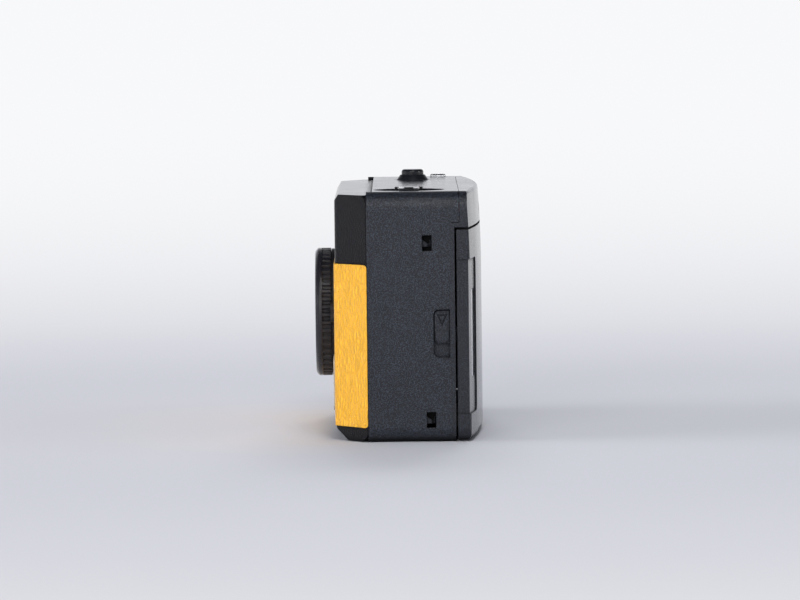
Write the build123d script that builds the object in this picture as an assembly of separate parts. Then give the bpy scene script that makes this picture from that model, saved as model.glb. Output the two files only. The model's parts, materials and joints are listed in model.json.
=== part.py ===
from build123d import *
import os
from math import asin, atan2, cos, degrees, pi, radians, sin, sqrt, tan

# Frame: +Z up, the lens looks along -Y, the rewind end is at +X and the shutter button is towards -X.
# The origin is at the middle of the base. Millimetres.

# Body
body_width = 119.0
body_height = 63.0
front_y = -16.0
back_end_y = 18.0
back_crown_y = 21.5
facet_width = 12.0
facet_depth = 8.2
facet_round = 3.0
top_round = 4.6
bottom_round = 3.8
back_foot_round = 2.2
back_lean = 0.8
back_lean_height = 21.0
shell_wall = 1.6
seat_gap = 0.1
run_gap = 0.3

# Seams between the mouldings
face_seam_y = -7.9
face_top_seam_y = -6.4
shell_rear_y = 12.9
chassis_rim = 1.3
skirt_depth = 3.9
skirt_wall = 1.3
door_gap = 0.5
shoulder_drop = 7.8
shell_top_rear_y = 15.4
door_top_drop = 1.8
door_top_gap = 0.6
door_bottom_z = 0.3

# Face plate, cover panel and badge
plate_wall = 1.5
plate_top_drop = 0.8
plate_bottom_z = 0.2
plate_top_chamfer_y = 1.0
plate_top_chamfer_z = 1.6
plate_bottom_chamfer = 2.9
panel_proud = 0.35
panel_sunk = 0.35
panel_low_z = 3.7
panel_top_drop = 18.3
panel_corner = 0.8
badge_inset = 14.5
badge_width = 20.0
badge_low_z = 7.2
badge_high_z = 20.3
badge_proud = 0.7
badge_corner = 1.5

# Lens ring and lens, on the optical axis
lens_z = 30.0
ring_radius = 16.6
ring_front_y = -21.5
ring_knurl_start = 1.8
ring_knurl_length = 2.3
ring_chamfer = 0.9
ring_bore = 13.6
ring_sleeve = 15.0
rib_count = 50
rib_height = 0.45
rib_width = 1.05
bezel_front_y = -20.7
bezel_mouth = 12.9
bezel_throat = 6.3
bezel_floor_y = -18.2
bezel_wall = 1.2
bezel_rear_y = -15.2
switch_gap = 0.1
switch_outer = 16.4
switch_tab_z = 30.8
switch_tab_height = 5.2
switch_tab_reach = 20.2
switch_tab_thickness = 1.15
holder_outer = 6.2
holder_bore = 4.6
holder_flange = 9.0
holder_flange_thickness = 0.65
lens_radius = 4.5
lens_front_y = -17.6
lens_thickness = 2.2
lens_bulge = 0.7
stop_hole = 1.55
stop_thickness = 0.3
stop_y = -14.2

# Film path: gate, rails and the two film chambers
gate_width = 36.0
gate_height = 24.0
gate_mouth_width = 10.4
gate_mouth_height = 8.4
tunnel_wall = 1.3
film_width = 35.0
film_deck = 1.5
rail_height = 0.4
rail_width = 1.6
rail_gap = 0.8
rail_overrun = 6.0
cassette_inset = 16.6
cassette_y = 2.9
cassette_chamber = 13.1
spool_inset = 18.5
spool_y = 4.5
spool_chamber = 10.2
chamber_wall = 1.4
chamber_low_z = 6.5
top_deck_depth = 10.4
chamber_floor = 1.5
spool_end_radius = 5.2
roof_front_y = -5.6
sprocket_x = -24.0
sprocket_radius = 6.05
sprocket_teeth = 8
tooth_height = 0.9
tooth_width = 1.3
perforation_inset = 3.4
sprocket_thickness = 1.2
shaft_radius = 2.4
spindle_radius = 1.5
spool_core = 5.0
spool_flange = 9.4
spool_flange_thickness = 1.0

# Transport gears above the chambers
gear_module = 0.5
wheel_gear_teeth = 12
spool_gear_teeth = 16
gear_thickness = 1.2
gear_direction = 135.0
wheel_radius = 11.1
wheel_thickness = 3.4
wheel_knurls = 48
wheel_knurl_depth = 0.45
dial_radius = 7.3
dial_thickness = 0.9
window_radius = 2.05
window_rise = 0.75
window_reach = 5.2
window_bearing = 165.0
pawl_post_offset = 7.7
pawl_post_y = 6.6
pawl_post_radius = 0.8
pawl_boss_radius = 1.4
pawl_half_width = 0.4
pawl_gap = 0.1
pawl_bearing = 10.0

# Shutter
shutter_room = 3.2
base_thickness = 1.2
base_left_x = -23.5
base_right_x = 13.0
base_low_z = 19.0
base_high_z = 46.0
blade_thickness = 0.4
blade_pivot_x = -8.5
blade_pivot_z = 38.0
blade_cover = 3.2
lever_pivot_x = -20.0
lever_pivot_z = 45.0
lever_thickness = 0.8
pivot_pin = 0.8

# Shutter button
button_offset = 10.5
button_y = 4.0
button_radius = 2.9
button_rise = 2.8
collar_base = 4.2
collar_top = 3.3
collar_rise = 1.3
stem_radius = 1.6
button_foot_gap = 1.4
foot_thickness = 1.4

# Flash and electrics
flash_x = 22.0
flash_width = 22.0
flash_height = 10.8
flash_drop = 3.6
flash_window_thickness = 1.8
reflector_depth = 5.6
reflector_wall = 0.6
tube_radius = 1.3
board_x = 23.0
board_width = 17.0
board_low_z = 17.0
board_high_z = 46.0
board_thickness = 1.0
board_y = -11.6
board_lead = 4.0
core_half = 3.0
core_thickness = 1.1
core_rise = 2.0
core_height = 6.0
coil_outer = 5.5
coil_inner = 3.5
coil_thickness = 0.9
coil_rise = 11.0
coil_height = 8.0
capacitor_radius = 4.5
capacitor_offset = 0.8
capacitor_length = 26.0
capacitor_low_z = 18.0
lamp_x = 12.5
lamp_radius = 1.5

# Battery bay under the light tunnel
cell_radius = 5.25
cell_length = 43.2
cell_nub = 1.2
cell_nub_radius = 1.9
bay_spindle_gap = 1.2
cell_y = 1.0
cell_z = 7.3
bay_wall = 1.0
bay_clearance = 0.4
contact_room = 1.0
battery_door_thickness = 0.9
battery_door_lap = 1.5
battery_door_end_lap = 0.8
battery_door_recess = 0.15
battery_hinge_radius = 0.95
battery_hinge_half = 8.0
battery_pin_radius = 0.5
battery_ear = 1.5
contact_thickness = 0.3

# Viewfinder
finder_width = 13.0
finder_height = 5.0
finder_drop = 3.4
finder_wall = 1.0
finder_lens_thickness = 1.6

# Rewind knob and crank
knob_pocket = 9.0
knob_clearance = 0.4
knob_pocket_depth = 3.0
pocket_wall = 1.2
knob_thickness = 2.0
fork_radius = 3.0
fork_reach = 3.8
fork_blade = 1.6
clip_radius = 4.4
clip_thickness = 0.6
crank_thickness = 1.3
crank_width = 5.0
crank_rise = 0.6
crank_pivot_offset = 6.2
crank_pin_radius = 0.6
grip_radius = 2.1
grip_offset = 5.1

# Back door
door_wall = 1.5
hinge_inset = 1.8
hinge_y = 16.3
hinge_radius = 1.8
hinge_pin_radius = 0.75
hinge_fit = 0.05
knuckle_length = 5.0
film_window_inset = 10.5
film_window_width = 8.0
film_window_low_z = 16.0
film_window_high_z = 38.0
door_panel_width = 16.0
door_panel_low_z = 7.0
door_panel_top_drop = 17.0
door_panel_depth = 0.4
door_edge_round = 0.8
plate_right_x = 23.0
plate_tall = 34.0
plate_thickness = 0.8
plate_play = 0.25
plate_corner = 1.5
plate_post_x = 10.0
plate_post_radius = 1.5
spring_half_length = 16.0
spring_half_width = 4.0
spring_rise = 4.4
spring_leaf = 0.3

# Door latch on the rewind end
latch_high_z = 33.4
latch_front_y = 8.7
latch_thumb_height = 8.3
latch_travel = 3.6
latch_wire = 0.12
latch_coil = 0.32
latch_pitch = 0.64
latch_spring_length = 3.2
latch_depth = 0.9
latch_pad_rise = 0.35
latch_pad_height = 3.2
latch_pad_round = 1.6
latch_stem_inset = 1.2
latch_stem_height = 2.2
latch_guide = 0.45

# Clip windows in the rewind end
clip_height = 4.0
clip_depth = 2.45
upper_clip_y = 6.05
upper_clip_drop = 14.9
lower_clip_y = 6.75
lower_clip_z = 3.6
clip_strip = 0.8
clip_strip_rise = 1.1
clip_lug_width = 1.25
clip_lug_height = 1.7
clip_bar = 0.2

# Strap bar at the other end
strap_bar_drop = 18.5
strap_pocket_height = 12.0
strap_pocket_depth = 4.2
strap_pocket_length = 7.0
strap_bar_radius = 1.0

# Rewind release button
release_radius = 1.9
release_travel = 1.0
release_top_z = 4.4

# Case screws in the base
screw_radius = 1.0
screw_head = 1.9
screw_head_thickness = 0.9
screw_boss = 2.4
cassette_screw_x = 6.0
cassette_screw_y = 5.0
spool_screw_x = 5.0
spool_screw_y = 4.0

end_x = body_width / 2
facet_x = end_x - facet_width
badge_x = facet_x - badge_inset
cassette_x = end_x - cassette_inset
spool_x = spool_inset - end_x
button_x = spool_x + button_offset
pawl_post_x = spool_x + pawl_post_offset
hinge_x = hinge_inset - end_x
film_window_x = end_x - film_window_inset
back_lean_start_z = body_height - back_lean_height
shoulder_z = body_height - shoulder_drop
door_top_z = shoulder_z - door_top_drop
plate_top_z = body_height - plate_top_drop
panel_high_z = body_height - panel_top_drop
chamber_high_z = body_height - top_deck_depth
flash_high_z = body_height - flash_drop
flash_low_z = flash_high_z - flash_height
finder_high_z = body_height - finder_drop
finder_low_z = finder_high_z - finder_height
knob_floor_z = body_height - knob_pocket_depth
crank_top_z = body_height + crank_rise
fork_low_z = chamber_high_z - fork_reach
button_top_z = body_height + button_rise
door_panel_high_z = body_height - door_panel_top_drop
upper_clip_z = body_height - upper_clip_drop
strap_bar_z = body_height - strap_bar_drop
facet_rear_y = front_y + facet_depth
back_radius = (end_x ** 2 + (back_crown_y - back_end_y) ** 2) / (2 * (back_crown_y - back_end_y))
back_center_y = back_crown_y - back_radius
far = 200.0
inner_front_inset = plate_wall + seat_gap + shell_wall
shell_front_y = front_y + plate_wall + seat_gap
shell_inner_front_y = front_y + inner_front_inset
rim_rear_y = shell_rear_y + chassis_rim
door_front_y = rim_rear_y + door_gap
film_y = shell_rear_y
roof_top_z = chamber_high_z + chamber_floor
button_foot_z = roof_top_z + button_foot_gap
top_inner_z = body_height - shell_wall
perforation_z = film_width / 2 - perforation_inset
sprocket_y = film_y - sprocket_radius
latch_low_z = latch_high_z - latch_thumb_height - latch_travel - run_gap
gear_distance = gear_module * (wheel_gear_teeth + spool_gear_teeth) / 2
wheel_x = spool_x + gear_distance * cos(radians(gear_direction))
wheel_y = spool_y + gear_distance * sin(radians(gear_direction))
bay_half_length = cell_length / 2 + cell_nub / 2 + contact_room + bay_clearance
bay_half_width = cell_radius + bay_clearance
bay_x = sprocket_x + spindle_radius + bay_spindle_gap + bay_wall + bay_half_length


def block(x0, x1, y0, y1, z0, z1):
    """A box between two opposite corners."""
    return Pos((x0 + x1) / 2, (y0 + y1) / 2, (z0 + z1) / 2) * Box(x1 - x0, y1 - y0, z1 - z0)


def rod_z(x, y, radius, z0, z1):
    """A round bar along Z."""
    return Pos(x, y, (z0 + z1) / 2) * Cylinder(radius, z1 - z0)


def rod_y(x, z, radius, y0, y1):
    """A round bar along Y."""
    return Pos(x, (y0 + y1) / 2, z) * Rot(90, 0, 0) * Cylinder(radius, y1 - y0)


def rod_x(y, z, radius, x0, x1):
    """A round bar along X."""
    return Pos((x0 + x1) / 2, y, z) * Rot(0, 90, 0) * Cylinder(radius, x1 - x0)


def slab_x(sketch, x0, x1):
    """A sketch drawn as (y, z), given thickness along X."""
    return extrude(Plane.YZ.offset(x0) * sketch, x1 - x0)


def slab_y(sketch, y0, y1):
    """A sketch drawn as (x, z), given thickness along Y."""
    return extrude(Plane.XZ.offset(-y1) * sketch, y1 - y0)


def slab_z(sketch, z0, z1):
    """A sketch drawn as (x, y), given thickness along Z."""
    return extrude(Plane.XY.offset(z0) * sketch, z1 - z0)


def turned_y(points, x, z):
    """A profile of (radius, y) points turned about a line along Y."""
    profile = make_face(Polyline(*points, close=True))
    solid = revolve(Plane.XY * profile, Axis.Y)
    return Pos(x, 0, z) * solid


def rounded(width, height, radius):
    """A rounded rectangle, centred."""
    return RectangleRounded(width, height, radius)


def coil(radius, wire, pitch, height):
    """A helical spring of round wire, standing on its start along Z."""
    path = Helix(pitch=pitch, height=height, radius=radius)
    section = Plane(origin=path @ 0, z_dir=path % 0) * Circle(wire)
    return sweep(section, path)


def plan_outline(inset):
    """The body from above with its two front facets, moved inwards by inset and open to the back."""
    slope = atan2(facet_depth, facet_width)
    x = end_x - inset
    front_x = facet_x - inset * tan(slope / 2)
    rear_y = facet_rear_y + inset * tan((pi / 2 - slope) / 2)
    y = front_y + inset
    corners = [(-x, far), (-x, rear_y), (-front_x, y), (front_x, y), (x, rear_y), (x, far)]
    face = make_face(Polyline(*corners, close=True))
    return fillet(face.vertices().group_by(Axis.Y)[0], max(facet_round - inset, 0.5))


def corner_cut(side):
    """What rounds off the upright edge between one end and the back."""
    slope = asin(end_x / back_radius)
    radius = door_edge_round
    x = end_x - radius
    y = back_end_y - radius * (1 - sin(slope)) / cos(slope)
    middle = (pi / 2 - slope) / 2
    start = (end_x, y)
    halfway = (x + radius * cos(middle), y + radius * sin(middle))
    stop = (x + radius * sin(slope), y + radius * cos(slope))
    away_x = end_x + radius
    away_y = y + 2 * radius
    outside = Polyline(stop, (stop[0], away_y), (away_x, away_y), (away_x, y), start)
    face = make_face(ThreePointArc(start, halfway, stop) + outside)
    prism = slab_z(face, -1, body_height + 1)
    return prism if side > 0 else mirror(prism, Plane.YZ)


def front_outline(inset):
    """The body from the front, with its rounded ends."""
    width = body_width - 2 * inset
    height = body_height - 2 * inset
    face = Pos(0, body_height / 2) * Rectangle(width, height)
    rows = face.vertices().group_by(Axis.Y)
    face = fillet(rows[0], max(bottom_round - inset, 0.5))
    rows = face.vertices().group_by(Axis.Y)
    return fillet(rows[-1], max(top_round - inset, 0.5))


def back_form(inset):
    """Everything in front of the crowned back, turned about the back's far centre."""
    y = back_crown_y - inset
    low = inset
    high = body_height - inset
    bend = ThreePointArc(
        (y, back_lean_start_z),
        (y - back_lean / 4, (back_lean_start_z + body_height) / 2),
        (y - back_lean, high),
    )
    front = front_y - 2
    lines = Polyline((y - back_lean, high), (front, high), (front, low), (y, low), (y, back_lean_start_z))
    face = make_face(bend + lines)
    if inset < back_foot_round:
        foot = face.vertices().group_by(Axis.Y)[0].sort_by(Axis.X)[-1]
        face = fillet(foot, back_foot_round - inset)
    if inset < door_edge_round:
        crest = face.vertices().group_by(Axis.Y)[-1].sort_by(Axis.X)[-1]
        face = fillet(crest, door_edge_round - inset)
    span = 2.8 * degrees(asin(end_x / back_radius))
    center = Axis((0, back_center_y, 0), (0, 0, 1))
    start = Plane.YZ * face
    return revolve(start.rotate(center, -span / 2), center, span)


def body_form(inset=0.0):
    """The outside of the body moved inwards by inset."""
    plan = slab_z(plan_outline(inset), -1, body_height + 1)
    ends = slab_y(front_outline(inset), front_y - 1, back_crown_y + 1)
    return plan & ends & back_form(inset)


outer = body_form() - corner_cut(-1) - corner_cut(1)
inside_wall = body_form(shell_wall)
under_plate = body_form(plate_wall + seat_gap)
inside_front = body_form(inner_front_inset)
inside_plate = body_form(plate_wall)


def face_zone(gap):
    """The part of space that the face plate takes, its seams moved forward by gap."""
    low = block(-far, far, -far, face_seam_y - gap, -far, far)
    top_half = end_x - top_round
    lip = block(-top_half, top_half, -far, face_top_seam_y - gap, body_height - top_round - 0.4, far)
    return low + lip


def build_face_plate():
    """The smooth moulding over the front, with its lens, flash and finder holes."""
    depth = face_seam_y - front_y
    side = Polyline(
        (front_y, plate_bottom_z + plate_bottom_chamfer),
        (front_y + plate_bottom_chamfer, plate_bottom_z),
        (front_y + depth + 3, plate_bottom_z),
        (front_y + depth + 3, plate_top_z),
        (front_y + plate_top_chamfer_y, plate_top_z),
        (front_y, plate_top_z - plate_top_chamfer_z),
        close=True,
    )
    plate = outer & face_zone(seat_gap) & slab_x(make_face(side), -far, far)
    plate -= inside_plate
    plate -= rod_y(0, lens_z, ring_sleeve + seat_gap, front_y - 1, front_y + plate_wall + 1)
    plate -= flash_hole(seat_gap)
    plate -= finder_hole(seat_gap)
    plate -= panel_form(seat_gap)
    plate -= badge_form(seat_gap, 0)
    return plate


def flash_hole(grow):
    """The opening for the flash window."""
    size = rounded(flash_width + 2 * grow, flash_height + 2 * grow, 1.0)
    sketch = Pos(flash_x, (flash_low_z + flash_high_z) / 2) * size
    return slab_y(sketch, front_y - 1, shell_inner_front_y + 1)


def finder_hole(grow):
    """The opening for the finder's front lens."""
    size = rounded(finder_width + 2 * grow, finder_height + 2 * grow, 0.8)
    sketch = Pos(0, (finder_low_z + finder_high_z) / 2) * size
    return slab_y(sketch, front_y - 1, shell_inner_front_y + 1)


def panel_form(grow):
    """The wrapped cover panel: a skin on the plate's front and facets."""
    outer_skin = plan_outline(-panel_proud)
    inner_skin = plan_outline(panel_sunk + grow)
    skin = slab_z(outer_skin - inner_skin, panel_low_z - grow, panel_high_z + grow)
    height = panel_high_z - panel_low_z + 2 * grow
    middle = (panel_low_z + panel_high_z) / 2
    rear = face_seam_y - seat_gap
    length = 2 * (rear - front_y)
    window = Pos(rear - length / 2, middle) * Rectangle(length, height)
    window = fillet(window.vertices().sort_by(Axis.X)[-2:], panel_corner)
    skin &= slab_x(window, -end_x, end_x)
    return skin


def badge_form(grow, proud):
    """The badge's block in front of the plate's recess floor."""
    size = rounded(badge_width + 2 * grow, badge_high_z - badge_low_z + 2 * grow, badge_corner)
    sketch = Pos(badge_x, (badge_low_z + badge_high_z) / 2) * size
    return slab_y(sketch, front_y - proud, front_y + panel_sunk + seat_gap)


def build_cover_panel():
    """The leather-like panel round the front."""
    panel = panel_form(0)
    panel -= rod_y(0, lens_z, switch_outer + run_gap, front_y - 2, front_y + 2)
    panel -= badge_form(seat_gap, 2)
    return panel


def build_badge():
    """The blank badge plate."""
    return badge_form(0, badge_proud)


def build_front_shell():
    """The textured casing: ends, top and base, with the lens wall inside the face plate."""
    rear_zone = block(-far, far, -far, shell_rear_y, -far, far)
    rear_zone += block(-far, far, shell_rear_y - 1, shell_top_rear_y, shoulder_z + seat_gap, far)
    shell = (outer & rear_zone) - face_zone(0)
    shell += under_plate & face_zone(0)
    shoulder = face_seam_y + shell_wall
    shell -= inside_front & block(-far, far, -far, shoulder + 0.4, -far, far)
    shell -= inside_wall & block(-far, far, shoulder + 0.4, far, -far, far)
    shell -= rod_y(0, lens_z, holder_outer + seat_gap, front_y, shell_inner_front_y + 1)
    shell -= flash_hole(seat_gap)
    shell -= finder_hole(seat_gap)
    shell += (rewind_cup() - face_zone(0)) + button_guide()
    shell -= rod_z(cassette_x, cassette_y, knob_pocket, knob_floor_z, body_height + 1)
    shell -= rod_z(cassette_x, cassette_y, fork_radius + run_gap, knob_floor_z - 5, body_height)
    shell -= rod_z(button_x, button_y, button_radius + 0.15, top_inner_z - 3.2, body_height + 1)
    shell -= counter_cut()
    shell -= battery_cut()
    shell -= latch_cut()
    shell -= clip_cut(upper_clip_y, upper_clip_z)
    shell -= clip_cut(lower_clip_y, lower_clip_z)
    shell -= release_cut()
    shell += battery_ears()
    for x, y in screw_places():
        shell -= rod_z(x, y, screw_head + 0.15, -1, screw_head_thickness + 0.25)
        shell -= rod_z(x, y, screw_radius + 0.1, -1, shell_wall + 1)
    shell = strap_recess(shell)
    return shell


def rewind_cup():
    """The cup under the rewind knob."""
    low = knob_floor_z - pocket_wall
    return rod_z(cassette_x, cassette_y, knob_pocket + pocket_wall, low, body_height)


def button_guide():
    """The sleeve under the shutter button."""
    return rod_z(button_x, button_y, button_radius + 1.2, top_inner_z - 1.6, body_height - 0.2)


def counter_cut():
    """The hole over the counter dial."""
    x, y = counter_place()
    return rod_z(x, y, window_radius - 0.5 + seat_gap, top_inner_z - 1, body_height + 1)


def counter_place():
    """Where the counter window lies over the dial."""
    x = wheel_x + window_reach * cos(radians(window_bearing))
    y = wheel_y + window_reach * sin(radians(window_bearing))
    return x, y


def battery_cut():
    """The hole under the cell and the ledge that its door closes on."""
    half_x = bay_half_length
    half_y = bay_half_width
    x0 = bay_x - half_x
    x1 = bay_x + half_x
    hole = block(x0, x1, cell_y - half_y, cell_y + half_y, -1, shell_wall + 1)
    end_lap = battery_door_end_lap + run_gap
    lap = battery_door_lap + run_gap
    ledge_z = battery_door_recess + battery_door_thickness + seat_gap
    ledge = block(x0 - end_lap, x1 + end_lap, cell_y - half_y - lap, battery_hinge_y(), -1, ledge_z)
    return hole + ledge + battery_hinge_room()


def battery_hinge_y():
    """The battery door's hinge line."""
    return cell_y + bay_half_width + battery_door_lap - battery_hinge_radius


def battery_hinge_z():
    """Height of the battery door's hinge line."""
    return battery_door_recess + 0.1 + battery_hinge_radius


def battery_hinge_room():
    """The trough that the battery door's rear edge turns in, open downwards behind the hinge line."""
    reach = bay_half_length + battery_door_end_lap + run_gap
    y = battery_hinge_y()
    z = battery_hinge_z()
    radius = battery_hinge_radius + 0.45
    mouth = block(bay_x - reach, bay_x + reach, y, y + radius, -1, z)
    return rod_x(y, z, radius, bay_x - reach, bay_x + reach) + mouth


def battery_ears():
    """The two ears on the shell's floor that hold the battery door's pins."""
    y = battery_hinge_y()
    z = battery_hinge_z()
    inner = battery_hinge_half + 0.2
    outer_x = inner + battery_ear
    eyes = rod_x(y, z, battery_hinge_radius, bay_x - outer_x, bay_x + outer_x)
    feet = block(bay_x - outer_x, bay_x + outer_x, y, y + 1.7, z - 0.4, z + battery_hinge_radius)
    between = block(bay_x - inner, bay_x + inner, -far, far, -1, chamber_low_z)
    return eyes + feet - between - rod_x(y, z, battery_pin_radius + hinge_fit, -end_x, end_x)


def latch_cut():
    """The pocket in the end wall that the latch slides in, open at the rear seam."""
    height = latch_high_z - latch_low_z
    middle = (latch_high_z + latch_low_z) / 2
    width = shell_rear_y + 1 - latch_front_y
    sketch = Pos(latch_front_y + width / 2, middle) * Rectangle(width, height)
    sketch = fillet(sketch.vertices().sort_by(Axis.X)[:2], 1.4)
    pocket = slab_x(sketch, end_x - latch_depth, end_x + 1)
    y = latch_stem_y()
    top = latch_high_z - run_gap - latch_stem_inset
    low = top - latch_stem_height - latch_travel
    slot = block(end_x - shell_wall - 1, end_x, y - 0.7, y + 0.7, low - 0.1, top + 0.1)
    return pocket + slot


def latch_stem_y():
    """Where the latch's stem passes the end wall."""
    return latch_front_y + 2.1


def clip_cut(y, z):
    """A window in the end wall for a snap hook."""
    return block(end_x - shell_wall - 1, end_x + 1, y, y + clip_depth, z, z + clip_height)


def release_cut():
    """The hole in the base for the rewind release button."""
    return rod_z(sprocket_x, sprocket_y, release_radius + 0.15, -1, shell_wall + 1)


def screw_places():
    """The two case screws in the base, under the film chambers."""
    near_cassette = (cassette_x + cassette_screw_x, cassette_y - cassette_screw_y)
    near_spool = (spool_x - spool_screw_x, spool_y - spool_screw_y)
    return [near_cassette, near_spool]


def strap_recess(shell):
    """The pocket at the other end with room behind the strap bar."""
    y = (face_seam_y + shell_rear_y) / 2
    half = strap_pocket_length / 2
    low = strap_bar_z - strap_pocket_height / 2
    high = strap_bar_z + strap_pocket_height / 2
    pocket_back = -end_x + strap_pocket_depth
    cup = block(-end_x + 0.8, pocket_back + 1.0, y - half - 1, y + half + 1, low - 1, high + 1)
    hollow = block(-end_x - 1, pocket_back, y - half, y + half, low, high)
    return (shell + cup) - hollow


def build_strap_bar():
    """The steel bar across the strap pocket."""
    y = (face_seam_y + shell_rear_y) / 2
    low = strap_bar_z - strap_pocket_height / 2
    high = strap_bar_z + strap_pocket_height / 2
    return rod_z(-end_x + strap_bar_radius + 0.25, y, strap_bar_radius, low, high)


def chamber_outside(x, y, radius):
    """The outer wall of a film chamber, up to the film deck."""
    low = chamber_low_z - chamber_floor
    half = radius + chamber_wall
    wall = rod_z(x, y, half, low, roof_top_z)
    square = block(x - half, x + half, y, film_y, low, roof_top_z)
    return (wall + square) & block(-far, far, -far, film_y, -far, far)


def chamber_inside(x, y, radius):
    """The room for film, open at the back."""
    room = rod_z(x, y, radius, chamber_low_z, chamber_high_z)
    mouth = block(x - radius, x + radius, y, rim_rear_y + 1, chamber_low_z, chamber_high_z)
    return room + mouth


def gate_cone(grow, y0, y1, width0, height0):
    """A funnel from the lens to the film gate."""
    near = Plane.XZ.offset(-y0) * (Pos(0, lens_z) * Rectangle(width0 + 2 * grow, height0 + 2 * grow))
    away = Plane.XZ.offset(-y1) * (Pos(0, lens_z) * Rectangle(gate_width + 2 * grow, gate_height + 2 * grow))
    return loft([near.face(), away.face()])


def build_chassis():
    """The inner body: rear rim, film chambers, light tunnel, roof and the upper back."""
    rim_zone = block(-far, far, shell_rear_y, rim_rear_y, -far, shoulder_z)
    chassis = (outer & rim_zone) - body_form(shell_wall + 0.8)
    upper_zone = block(-far, far, shell_top_rear_y + seat_gap, far, door_top_z + door_top_gap, far)
    chassis += (outer - body_form(door_wall)) & upper_zone
    deck_zone = block(-far, far, shell_rear_y, far, door_top_z + door_top_gap, shoulder_z)
    chassis += outer & deck_zone
    skirt_zone = block(-far, far, shell_rear_y - skirt_depth, shell_rear_y + 1, -far, shoulder_z - 0.6)
    chassis += (body_form(shell_wall + seat_gap) - body_form(shell_wall + seat_gap + skirt_wall)) & skirt_zone
    inner_x = end_x - shell_wall - seat_gap - 1
    low_z = shell_wall + seat_gap + 1
    chassis += block(-inner_x, inner_x, film_y - film_deck, film_y, low_z, roof_top_z)
    chassis += block(-inner_x, cassette_x, roof_front_y, shell_rear_y + 1, chamber_high_z, roof_top_z)
    chassis += chamber_outside(spool_x, spool_y, spool_chamber)
    chassis += sprocket_trough(0.8)
    base_rear = shell_inner_front_y + shutter_room
    chassis += gate_cone(tunnel_wall, base_rear, film_y - 0.5, gate_mouth_width, gate_mouth_height)
    chassis -= chamber_inside(cassette_x, cassette_y, cassette_chamber)
    chassis -= chamber_inside(spool_x, spool_y, spool_chamber)
    chassis -= sprocket_trough(0)
    chassis -= gate_cone(0, base_rear - 0.01, film_y + 0.01, gate_mouth_width, gate_mouth_height)
    chassis += film_rails()
    chassis -= rod_z(spool_x, spool_y, spindle_radius + hinge_fit, chamber_low_z - 1.0, roof_top_z + 1)
    chassis -= rod_z(sprocket_x, sprocket_y, spindle_radius + hinge_fit, 3.0, roof_top_z + 1)
    chassis -= rod_z(wheel_x, wheel_y, spindle_radius + hinge_fit, chamber_high_z + 0.3, roof_top_z + 1)
    chassis += rod_z(pawl_post_x, pawl_post_y, pawl_post_radius, roof_top_z - 0.2, pawl_low_z() + 1.5)
    chassis = with_screw_boss(chassis, screw_places()[1])
    chassis -= bay_form(bay_wall + seat_gap, -1)
    chassis -= finder_tunnel_room()
    chassis -= wheel_room()
    chassis -= rod_y(lamp_x, finder_middle_z(), lamp_radius + seat_gap, shell_rear_y, back_crown_y + 1)
    chassis += clip_hook(upper_clip_y, upper_clip_z)
    chassis += clip_hook(lower_clip_y, lower_clip_z)
    chassis -= chamber_outside(cassette_x, cassette_y, cassette_chamber)
    chassis -= latch_room()
    chassis += hinge_knuckles()
    chassis -= rod_z(hinge_x, hinge_y, hinge_pin_radius, door_bottom_z + 0.6, door_top_z + door_top_gap - 0.9)
    return chassis


def with_screw_boss(solid, place):
    """A chamber's moulding with the boss under it that a case screw holds."""
    x, y = place
    top = chamber_low_z - chamber_floor + 0.1
    boss = rod_z(x, y, screw_boss, shell_wall + seat_gap, top)
    return solid + boss - rod_z(x, y, screw_radius + 0.02, 0, top)


def build_cassette_well():
    """The walls round the film cassette, set into the chassis."""
    well = chamber_outside(cassette_x, cassette_y, cassette_chamber)
    well -= chamber_inside(cassette_x, cassette_y, cassette_chamber)
    well -= rod_z(cassette_x, cassette_y, fork_radius + run_gap, chamber_high_z - 1, roof_top_z + 1)
    well -= rod_z(cassette_x, cassette_y, spool_end_radius, chamber_low_z - 1.0, chamber_low_z + 1)
    well -= bay_form(bay_wall + seat_gap, -1)
    return with_screw_boss(well, screw_places()[0]) - latch_room()


def finder_middle_z():
    """Height of the finder's line of sight."""
    return (finder_low_z + finder_high_z) / 2


def sprocket_trough(grow):
    """The half-round trough that the sprocket turns in."""
    radius = sprocket_radius + tooth_height + 0.4 + grow
    bottom = lens_z - perforation_z - sprocket_thickness / 2 - 0.2 - grow
    x0 = sprocket_x - radius
    x1 = sprocket_x + radius
    room = rod_z(sprocket_x, sprocket_y, radius, bottom, chamber_high_z)
    clear = room + block(x0, x1, sprocket_y, film_y + 1, bottom, chamber_high_z)
    near_gate = gate_width / 2 + tunnel_wall
    keep = block(-far, -near_gate, -far, film_y, -far, far) + perforation_bands()
    return clear & keep & block(-far, far, -far, film_y + (0 if grow else 1), -far, far)


def perforation_bands():
    """The two heights where the sprocket's teeth reach past the gate's side."""
    bands = None
    for side in (-1, 1):
        z = lens_z + side * perforation_z
        half = sprocket_thickness / 2 + 0.2
        band = block(-far, 0, -far, film_y, z - half, z + half)
        bands = band if bands is None else bands + band
    return bands


def film_rails():
    """Two rails each side of the gate that carry the film."""
    x0 = 1 - gate_width / 2
    x1 = gate_width / 2 + rail_overrun
    inner = gate_height / 2 + rail_gap
    outside = inner + rail_width
    rails = block(x0, x1, film_y - 0.2, film_y + rail_height, lens_z - outside, lens_z + outside)
    return rails - block(-far, far, -far, far, lens_z - inner, lens_z + inner)


def finder_tunnel_room():
    """The way through the upper back for the finder tunnel and its eyepiece."""
    half = finder_width / 2 + seat_gap
    return block(-half, half, -7, far, finder_low_z - seat_gap, finder_high_z + seat_gap)


def wheel_room():
    """The slot in the upper back that the advance wheel shows through."""
    z0 = wheel_low_z() - run_gap
    z1 = wheel_low_z() + wheel_thickness + run_gap
    return rod_z(wheel_x, wheel_y, wheel_radius + run_gap + 0.2, z0, z1)


def wheel_low_z():
    """Underside of the advance wheel."""
    return roof_top_z + run_gap + gear_thickness + 0.3


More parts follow.
